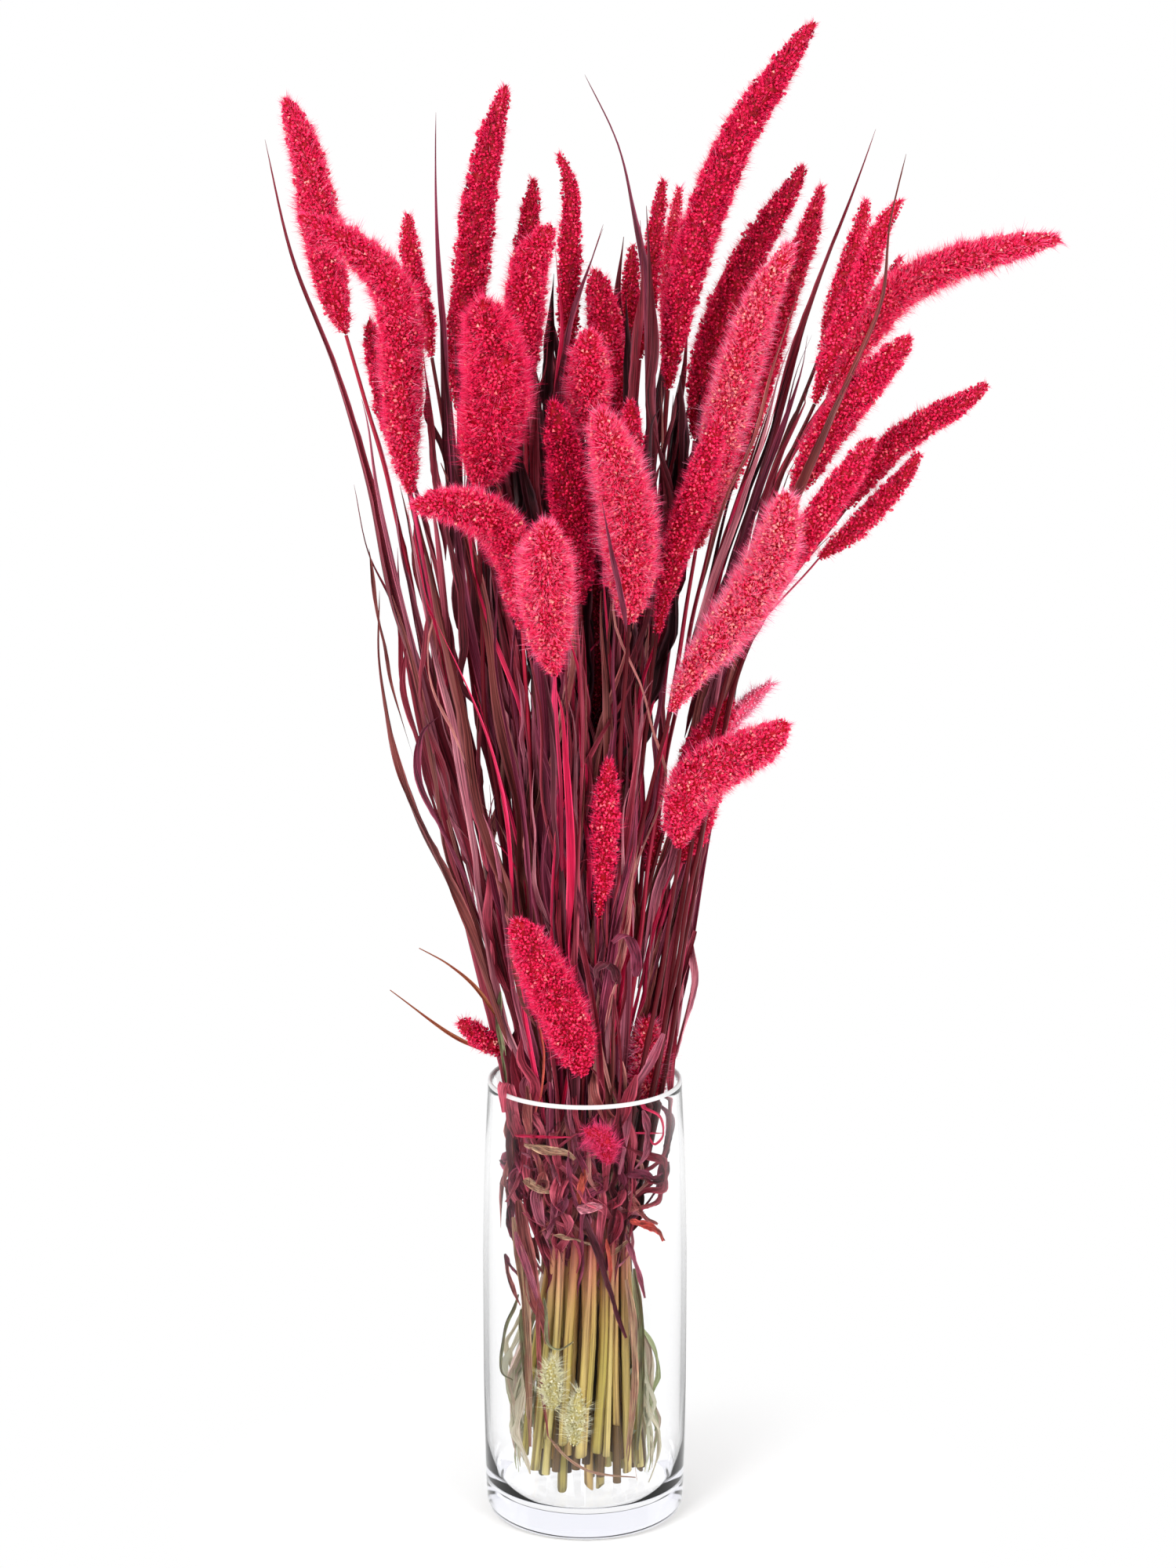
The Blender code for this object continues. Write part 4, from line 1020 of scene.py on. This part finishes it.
# Leaves that fold over toward the viewer.
FOLDED = (
    (((2.6, 28.6), (2.6, 29.7), (2.3, 30.6), (1.9, 30.8), (1.4, 30.4)), -4.2, -5.6, 5.5, PLUM),
    (((1.7, 28.2), (1.5, 29.0), (1.1, 29.3), (0.6, 29.0), (0.6, 28.5)), -4.2, -5.4, 5.0, SLATE),
    (((-3.4, 20.0), (-3.8, 22.2), (-4.0, 22.9), (-4.2, 22.6), (-4.1, 21.4)), -2.6, -3.2, 7.0, PINK),
)
# Leaves up among the heads. The near-black and the dark ones stand for the shade between the heads: painted
# shade.
AMONG_HEADS = (
    (((-0.4, 56.0), (-1.3, 57.7), (-1.1, 60.1), (-0.6, 62.4), (0.1, 64.2), (0.9, 66.4)),
     -3.0, -3.4, 4.0, PLUM, 0.9),
    (((-2.2, 49.5), (-2.3, 52.1), (-2.5, 54.0), (-2.5, 56.3), (-2.3, 58.3), (-1.9, 59.6), (-1.8, 61.1)),
     -3.6, -3.6, 4.5, MAROON, 0.7),
    (((-2.4, 50.8), (-2.6, 52.2), (-3.0, 54.3), (-3.3, 55.9)), -4.0, -4.0, 6.5, SHADE_BLACK, 0.3),
    (((2.3, 55.0), (2.5, 59.6), (2.6, 61.4), (2.8, 64.2), (2.7, 66.8)), -2.6, -2.4, 5.5, MAROON, 0.9),
    (((3.3, 54.0), (3.3, 56.3), (3.1, 58.3), (3.3, 60.7), (3.2, 64.2), (3.0, 67.5)),
     -2.8, -2.6, 6.5, DARK, 0.7),
    (((2.1, 46.4), (1.7, 48.8), (1.2, 51.2), (0.8, 53.3)), -10.6, -11.0, 2.8, PLUM, 0.5),
    (((-8.9, 45.7), (-9.1, 43.9), (-8.8, 42.4), (-8.2, 40.4), (-7.9, 38.9), (-7.3, 36.8), (-6.2, 34.2),
      (-5.3, 31.9)), -2.0, -3.0, 3.4, MAROON, 1.2),
    (((-7.3, 42.1), (-8.1, 41.4), (-8.4, 40.2), (-8.3, 38.9), (-7.7, 37.4), (-6.5, 34.9), (-5.6, 32.4),
      (-4.9, 30.5)), -2.4, -3.4, 4.0, PLUM, 1.2),
    (((-10.7, 50.6), (-10.3, 47.4), (-9.9, 45.5), (-9.6, 43.5), (-8.6, 40.0)), -1.6, -2.0, 2.2, UMBER, 0.9),
    (((-6.6, 50.0), (-6.8, 54.4), (-6.9, 58.6), (-7.1, 62.8)), -2.0, -1.6, 6.5, SLATE, 0.8),
    (((-6.9, 50.0), (-7.3, 54.4), (-7.7, 58.0), (-8.0, 61.0)), -1.4, -1.2, 5.0, ROSE, 0.9),
    (((-2.0, 57.5), (-1.8, 60.6), (-1.7, 61.4), (-1.5, 64.2)), -0.8, -0.8, 6.0, SHADE_BLACK, 0.4),
    (((2.2, 56.0), (2.1, 60.0), (2.0, 63.5)), -0.6, -0.6, 5.0, SHADE_BLACK, 0.4),
    (((-1.5, 55.0), (-1.4, 58.2), (-1.1, 61.4), (-1.3, 63.9), (-1.5, 66.0)), -1.4, -1.4, 2.6, MAGENTA, 0.6),
    (((1.6, 56.0), (1.8, 60.0), (1.6, 63.0), (1.9, 66.0)), 1.2, 1.2, 8.0, DARK, 0.3),
    (((-3.1, 56.0), (-3.0, 60.0), (-3.2, 64.0)), 1.4, 1.4, 8.0, SHADE_BLACK, 0.3),
)
RIGHT_EDGE = ((3.9, 28.0), (4.8, 33.2), (6.2, 38.3), (7.4, 43.2), (8.5, 47.2), (9.4, 49.9), (10.0, 52.1))
ABOVE_RIM = ((2.6, 21.6), (3.0, 24.4), (3.3, 27.0), (3.8, 30.4), (4.3, 33.6), (4.9, 36.4))
RIGHT_FRONT = ((0.9, 25.0), (1.5, 28.5), (2.1, 32.0), (2.7, 35.5), (3.4, 39.5), (4.2, 44.0))
RIGHT_BUNDLE = ((5.4, 43.5), (6.6, 48.6), (7.9, 53.0), (9.0, 56.0), (9.9, 59.3), (10.5, 61.2), (11.6, 64.6))


def spread_widths(width):
    """Widths along a drawn leaf, from its widest in millimetres."""
    return width * MM * np.interp(np.linspace(0, 1, DRAWN), (0, 0.15, 0.6, 1.0), (0.4, 1.0, 0.95, 0.35))


def strips(sheet, random, rows, shape=1.0):
    """Drawn leaves; below the rim they stay inside the glass."""
    for points, near, far, width, tone, turned in rows:
        line = sweep(points, near, far)
        keep_inside(line, AT_GLASS)
        twist = turned * np.sin(np.linspace(0, random.uniform(3, 7), DRAWN) + random.uniform(0, 6))
        ribbon(sheet, line, spread_widths(width) * shape, VIEWER, tone, random, 0.4, twist, 0.6, 2)


POINTED = np.interp(np.linspace(0, 1, DRAWN), (0, 0.07, 0.5, 1.0), (0.2, 1.0, 1.0, 0.1))


def strand(sheet, random, line, thin, broad, tones=None):
    """A pointed leaf of a bundle, turned this way and that."""
    twist = random.uniform(-0.8, 0.8)
    twist = twist + random.uniform(0.3, 1.2) * np.sin(np.linspace(0, random.uniform(3, 9), DRAWN))
    width = spread_widths(random.uniform(thin, broad)) * POINTED
    tone = random.choice(tones) if tones else leaf_tone(random, random.choice((0.4, 0.8)))
    ribbon(sheet, line, width, VIEWER, tone, random, 0.5, twist)


def swayed(route, random, sway):
    """A route with its points moved across at random."""
    return np.array(route) + random.normal(0, sway, (len(route), 2)) * (1, 0)


random = np.random.default_rng(23)
sheet = Sheet()
strips(sheet, random, KNOTTED)
strips(sheet, np.random.default_rng(5), LOOPED)
for points, near, far, width, tone in FOLDED:
    line = sweep(points, near, far)
    over = unit(np.cross((1.0, 0.2, 0.0), unit(np.gradient(line, axis=0))))
    ribbon(sheet, line, spread_widths(width), over, tone, random, 0.3, 0.2, 0.6, 2)
sheet.piece("leaves_knotted", [LEAF])

sheet = Sheet()
strips(sheet, random, AMONG_HEADS, POINTED)
for _ in range(60):
    route = swayed(RIGHT_EDGE, random, 0.16)
    route[:, 0] -= random.uniform(-0.1, 1.7)
    route = route[random.integers(0, 3):len(route) - random.integers(0, 3)]
    depth = random.uniform(-2.2, 1.0)
    line = sweep(route, depth, depth)
    if not hides_head(line, 0.03):
        strand(sheet, random, line, 2, 6, (ROSE, BROWN, PINK, PLUM, MAUVE, PURPLE, PALE, BEIGE))
for k in range(80):  # brown and mauve blades in front of the stalks at the right
    route = np.array(ABOVE_RIM if k < 50 else RIGHT_FRONT)
    route[:, 0] += random.uniform(-1.2, 0.9) * np.linspace(0.7, 1.0, 6) + random.normal(0, 0.14, 6)
    route = route[:len(route) - random.integers(0, 3)]
    line = sweep(route, random.uniform(-3.6, -3.0), random.uniform(-5.6, -4.4))
    keep_inside(line, NEAR_GLASS)
    if not hides_head(line, 0.05):
        strand(sheet, random, line, 1.8, 5.5, (ROSE, ROSE, BROWN, UMBER, PINK, MAUVE, PURPLE, BEIGE))
for _ in range(10):
    route = swayed(RIGHT_BUNDLE, random, 0.12)
    route[:, 0] += random.uniform(-0.9, 0.7)
    route = route[random.integers(0, 2):len(route) - random.integers(0, 3)]
    depth = random.uniform(-3.0, 0.5)
    strand(sheet, random, sweep(route, depth, depth), 1.5, 5)
sheet.piece("leaves_among_heads", [LEAF])


# ---------------------------------------------------------------- the foot of the bunch


def sheath_material():
    """Pale green and straw leaf sheaths with fine veins."""
    material, graph, shader = new_material("sheath")
    uv, u, _ = graph.map_axes()
    colour = graph.ramp(u, [(0.0, (240, 240, 222)), (0.3, (206, 214, 184)), (0.5, (240, 226, 210)),
                            (0.65, (176, 190, 144)), (0.8, (232, 206, 198)), (1.0, (210, 220, 192))])
    shade = graph.ramp(graph.noise(uv, 240.0, 4.0), [(0.3, (206, 198, 184)), (0.6, WHITE)])
    graph.feed(shader, {"Base Color": graph.mixed("MULTIPLY", 1.0, colour, shade), "Roughness": 0.5})
    return material


SHEATH = sheath_material()
random = np.random.default_rng(31)
sheet = Sheet()
for k in range(74):
    turn = random.uniform(0.2, 2.9)
    if k < 48:
        turn = random.choice((random.uniform(2.5, 3.45), random.uniform(-0.35, 0.6)))
    top = random.uniform(0.075, 0.135)
    foot = random.uniform(0.0125, 0.05)
    t = np.linspace(0, 1, 30)
    z = top + (foot - top) * t
    spread = random.uniform(0.04, 0.42) * (1.0 if math.cos(turn) < 0 else 0.7)
    reach = np.interp(z, (0.0, 0.05, 0.10, 0.14), (0.026, 0.025, 0.023, 0.021)) + spread * (top - z)
    reach = np.minimum(reach * (1.0 + 0.06 * np.sin(t * random.uniform(4, 12) + k)), 0.041 - 0.006 * t**2)
    turns = turn + random.normal(0, 0.16) * t
    line = np.column_stack((np.cos(turns) * reach, np.sin(turns) * reach, z))
    line[:, :2] += np.column_stack((np.sin(t * 9 + k), np.cos(t * 7 + k))) * 0.0016
    width = random.uniform(1.2, 5) * MM * np.interp(t, (0, 0.2, 0.7, 1.0), (0.4, 1.0, 0.8, 0.2))
    width *= 1.0 + 0.3 * np.sin(t * random.uniform(12, 34) + k)
    tone = random.uniform(0, 19)
    bend = random.uniform(-0.9, 0.9) + random.uniform(-1.6, 1.6) * t
    ribbon(sheet, line, width, toward(turn), tone, random, 0.6, bend)
sheet.piece("sheaths", [SHEATH])


def stem(sheet, line, radius, random, shade):
    """A cut stem: slightly flattened, ribbed, with a joint and an oblique hollow end at its foot."""
    line, _, _ = curve_through(line, STEM_STATIONS)
    ahead, side, up = frames_along(line)
    turn = circle(STEM_SIDES)
    joint = random.uniform(0.2, 0.8)
    t = np.linspace(0, 1, STEM_STATIONS)
    size = radius * (1.0 - 0.18 * t) * (1.0 + 0.16 * np.exp(-((t - joint) / 0.012) ** 2))
    out = spokes(side, up * random.uniform(0.78, 1.0), turn)
    rings = line[:, None] + out * size[:, None, None]
    slant = random.uniform(-1.3, 1.3) * radius * np.cos(turn + random.uniform(0, 6))
    slant = ahead[0] * slant[:, None]
    rings[0] += slant
    inner = line[0] + out[0] * size[0] * 0.66 + slant
    deep = line[0] + out[0] * size[0] * 0.60 + slant + ahead[0] * 3 * MM
    vertices, quads = loft(np.concatenate((deep[None], inner[None], rings)))
    high = np.concatenate(((0.0, 0.0), np.clip(line[:, 2] / TOP, 0, 1)))
    sheet.add(vertices, quads, strip_map(quads, 0.80 + 0.13 * shade, high, STEM_SIDES))


# Stems at the front, drawn: top and foot on the upright plane, depth at top and foot, radius in millimetres.
FRONT_STEMS = (
    ((-0.5, 13.8), (-1.1, 3.5), -2.6, -3.1, 2.6), ((0.4, 13.8), (-0.2, 2.7), -2.7, -3.2, 3.0),
    ((1.0, 13.8), (0.6, 2.9), -2.5, -3.0, 2.6), ((1.4, 13.8), (1.1, 2.7), -2.3, -2.8, 1.9),
    ((1.6, 13.8), (1.6, 4.4), -1.9, -2.4, 1.7), ((-1.2, 13.6), (-1.9, 3.9), -2.3, -2.5, 2.2),
    ((-1.6, 13.4), (-2.6, 1.9), -1.9, -1.8, 2.4), ((2.0, 13.6), (2.2, 1.8), -1.6, -1.8, 2.3),
    ((0.0, 13.6), (0.2, 0.9), -2.1, -2.0, 2.4), ((-0.9, 13.6), (-1.2, 0.4), -1.8, -1.4, 2.6),
    ((0.8, 13.4), (0.8, 0.5), -1.6, -1.2, 2.2), ((-1.9, 13.2), (-3.1, 2.9), -1.2, -1.0, 1.9),
    ((2.2, 13.0), (2.8, 2.4), -0.9, -0.8, 1.9), ((0.5, 13.4), (0.2, 5.5), -3.0, -3.5, 1.5),
)
BACK_STEMS = 16
random = np.random.default_rng(47)
sheet = Sheet()
for top, foot, near, far, radius in FRONT_STEMS:
    high, low = drawn((top, foot), near, far)
    low[2] = max(low[2], 0.0135)
    middle = 0.5 * (high + low) + random.normal(0, 0.0008, 3)
    over = high + (high - low) * 0.18 * np.array((0.4, 0.4, 1.0))
    stem(sheet, (low, middle, high, over), radius * MM, random, random.uniform(0.25, 1))
for k in range(BACK_STEMS):
    turn = math.pi * (0.03 + 0.94 * (k + 0.5) / BACK_STEMS) + random.normal(0, 0.05)
    foot = toward(turn) * random.uniform(0.020, 0.031)
    high = toward(turn) * 0.021
    foot[2], high[2] = random.uniform(0.013, 0.035), random.uniform(0.15, 0.19)
    radius = random.uniform(1.5, 2.6) * MM
    # the stems at the back are painted dark with the dark ends of the culm colours: painted shade
    stem(sheet, (foot, 0.5 * (foot + high), high), radius, random, random.choice((0.0, 1.3)))
sheet.piece("cut_stems", [CULM])


# ---------------------------------------------------------------- vase


def vase():
    """The glass, turned from the CAD's profile with rounder edges."""
    outside = [(0.0, 0.0), (0.030, 0.0), (0.0452, 0.0), (0.0478, 0.0006), (0.0498, 0.0022), (0.0511, 0.006),
               (0.0516, 0.018), (0.0520, 0.040), (0.0524, 0.070), (0.0525, 0.10), (0.0525, 0.14),
               (0.0519, 0.172), (0.0510, 0.198), (0.0501, 0.218), (0.0496, 0.228), (0.04965, 0.2310),
               (0.0493, 0.2325), (0.0486, 0.2330), (0.0479, 0.2325), (0.0475, 0.2312), (0.04745, 0.228)]
    inside = [(0.0475, 0.218), (0.0484, 0.198), (0.0493, 0.172), (0.0499, 0.14), (0.0499, 0.10),
              (0.0497, 0.07), (0.0492, 0.04), (0.0484, 0.026), (0.0468, 0.0185), (0.0440, 0.0145),
              (0.038, 0.0122), (0.025, 0.0113), (0.0, 0.0110)]
    profile = np.array(outside + inside)
    sides = 128
    rim_edge = 0.2314
    turn = circle(sides)
    body = profile[1:-1]
    rings = np.stack((body[:, None, 0] * np.cos(turn), body[:, None, 0] * np.sin(turn),
                      np.repeat(body[:, None, 1], sides, axis=1)), axis=-1)
    vertices, quads = loft(rings)
    count = len(vertices)
    vertices = np.vstack((vertices, [(0, 0, profile[0, 1]), (0, 0, profile[-1, 1])]))
    last = (len(body) - 1) * sides
    fans = [(count, (k + 1) % sides, k) for k in range(sides)]
    fans += [(count + 1, last + k, last + (k + 1) % sides) for k in range(sides)]
    corners = np.column_stack((0.5 + vertices[:, 0] * 8, 0.05 + vertices[:, 2] * 3.5))
    sheet = Sheet()
    # the faces at the lip get the painted highlight
    rim_highlight_faces = vertices[quads][:, :, 2].mean(1) > rim_edge
    sheet.add(vertices, quads[~rim_highlight_faces], corners)
    sheet.add(vertices, quads[rim_highlight_faces], corners, 1)
    sheet.add(vertices, np.array(fans), corners)
    # the lip's glass is part white and frosted, a painted highlight for the bright line round the rim
    rim, graph, shader = new_material("glass_rim_highlight")
    graph.feed(shader, {"Base Color": (0.95, 0.95, 0.95, 1.0), "Transmission Weight": 0.35, "IOR": 1.45,
                        "Roughness": 0.3})
    glass, graph, shader = new_material("glass")
    graph.feed(shader, {"Base Color": (1.0, 1.0, 1.0, 1.0), "Transmission Weight": 1.0, "IOR": 1.45,
                        "Roughness": 0.0})
    tint = graph.add("VolumeAbsorption", {"Color": (0.28, 0.30, 0.58, 1.0), "Density": 2.5})
    graph.feed(graph.nodes["Material Output"], {"Volume": tint[0]})
    thing = sheet.piece("vase_glass", [glass, rim])
    merge = thing.modifiers.new("weld", "WELD")
    merge.merge_threshold = 0.00001
    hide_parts("vase")


vase()


# ---------------------------------------------------------------- stage, light, camera

WHOLE_VASE = 3.5  # a ray's depth once it has crossed both walls


def light_rays(graph):
    """What a ray is, and 1 for rays that the glass mirrors or lets through."""
    rays = graph.add("LightPath")
    return rays, graph.math("MAXIMUM", rays["Is Glossy Ray"], rays["Is Transmission Ray"])


def near_glare(graph, rays):
    """1 for light mirrored by the near wall of the glass, 0 for light that came through the whole vase."""
    near = graph.math("LESS_THAN", rays["Ray Depth"], WHOLE_VASE)
    return graph.math("MULTIPLY", near, rays["Is Glossy Ray"])


def through(graph, rays, strength):
    """A strength, an eighth more where it is seen through the whole vase, whose walls turn that much away."""
    deep = graph.math("GREATER_THAN", rays["Ray Depth"], WHOLE_VASE)
    passed = graph.math("MULTIPLY", deep, rays["Is Transmission Ray"])
    return graph.math("MULTIPLY_ADD", passed, 0.13, strength)


def make_floor():
    """White to the eye and in the glass, and a plain pale surface that takes the shadow near the vase."""
    mesh = bpy.data.meshes.new("floor")
    corners = [(x * 30, y * 30, -0.0003) for x, y in ((-1, -1), (1, -1), (1, 1), (-1, 1))]
    mesh.from_pydata(corners, [], [(0, 1, 2, 3)])
    floor = link_new("floor", mesh)
    material, graph, shader = new_material("floor")
    graph.feed(shader, {"Base Color": (0.93, 0.93, 0.93, 1.0), "Roughness": 0.9, "Specular IOR Level": 0.0})
    rays, also = light_rays(graph)
    spot = graph.add("NewGeometry")["Position"]
    length = graph.nodes.new("ShaderNodeVectorMath")
    length.operation = "LENGTH"
    far = graph.spread(graph.feed(length, {0: spot})["Value"], 0.06, 0.22, 0.0, True)
    seen = graph.math("MAXIMUM", graph.math("MULTIPLY", rays["Is Camera Ray"], far), also)
    dim = graph.spread(graph.add("SeparateXYZ", {0: spot})[1], -0.15, 0.5, 0.05)
    apart = graph.math("MULTIPLY", near_glare(graph, rays), far)
    glare = graph.add("Mix", {0: apart, 2: 1.0, 3: dim})[0]
    glow = graph.add("Emission", {"Strength": through(graph, rays, glare)})
    mix = graph.add("MixShader", {0: seen, 1: shader.outputs[0], 2: glow[0]})
    graph.feed(graph.nodes["Material Output"], {"Surface": mix[0]})
    mesh.materials.append(material)


def make_world():
    """White to the eye and in the glass, with a darker band behind the viewer that edges the glass."""
    world = bpy.data.worlds.new("studio")
    bpy.context.scene.world = world
    world.use_nodes = True
    graph = Graph(world.node_tree)
    rays, also = light_rays(graph)
    strength = graph.spread(graph.math("MAXIMUM", rays["Is Camera Ray"], also), 0.0, 1.0, 0.84)
    toward = graph.add("SeparateXYZ", {0: graph.add("TexCoord")["Generated"]})
    dim = graph.spread(toward[1], 0.3, 0.9, 0.05, True)
    pick = graph.add("Mix", {0: near_glare(graph, rays), 2: through(graph, rays, strength), 3: dim})[0]
    # lamps don't reach through the glass, so the sky does a little more
    bounced = graph.math("MULTIPLY", rays["Is Transmission Ray"], rays["Diffuse Depth"])
    bounced.node.use_clamp = True
    tint = graph.ramp(pick, [(0.0, (0.72, 0.80, 1.0, 1.0)), (0.8, (1.0, 1.0, 1.0, 1.0))])
    inside = graph.math("MULTIPLY_ADD", bounced, 1.0, pick)
    graph.feed(graph.nodes["Background"], {"Strength": inside, "Color": tint})


def make_lamps_and_camera():
    for name, where, power in (("key", (-1.6, -2.2, 2.2), 68.0), ("fill", (1.8, -1.8, 1.4), 38.0)):
        lamp = bpy.data.lights.new(name, "AREA")
        lamp.size = 1.6
        lamp.energy = power
        holder = link_new(name, lamp)
        holder.location = where
        aim = np.array((0.0, 0.0, 0.4)) - np.array(where)
        holder.rotation_mode = "QUATERNION"
        holder.rotation_quaternion = Vector(aim).to_track_quat("-Z", "Y")

    lens = bpy.data.cameras.new("camera")
    lens.lens = 95.0
    lens.sensor_width = 36.0
    camera = link_new("camera", lens)
    camera.location = (0.0016, EYE[1], EYE[2])
    camera.rotation_euler = (math.radians(90.0 - 12.95), 0.0, 0.0)
    bpy.context.scene.camera = camera
    bpy.context.scene.view_settings.view_transform = "Standard"


make_floor()
make_world()
make_lamps_and_camera()
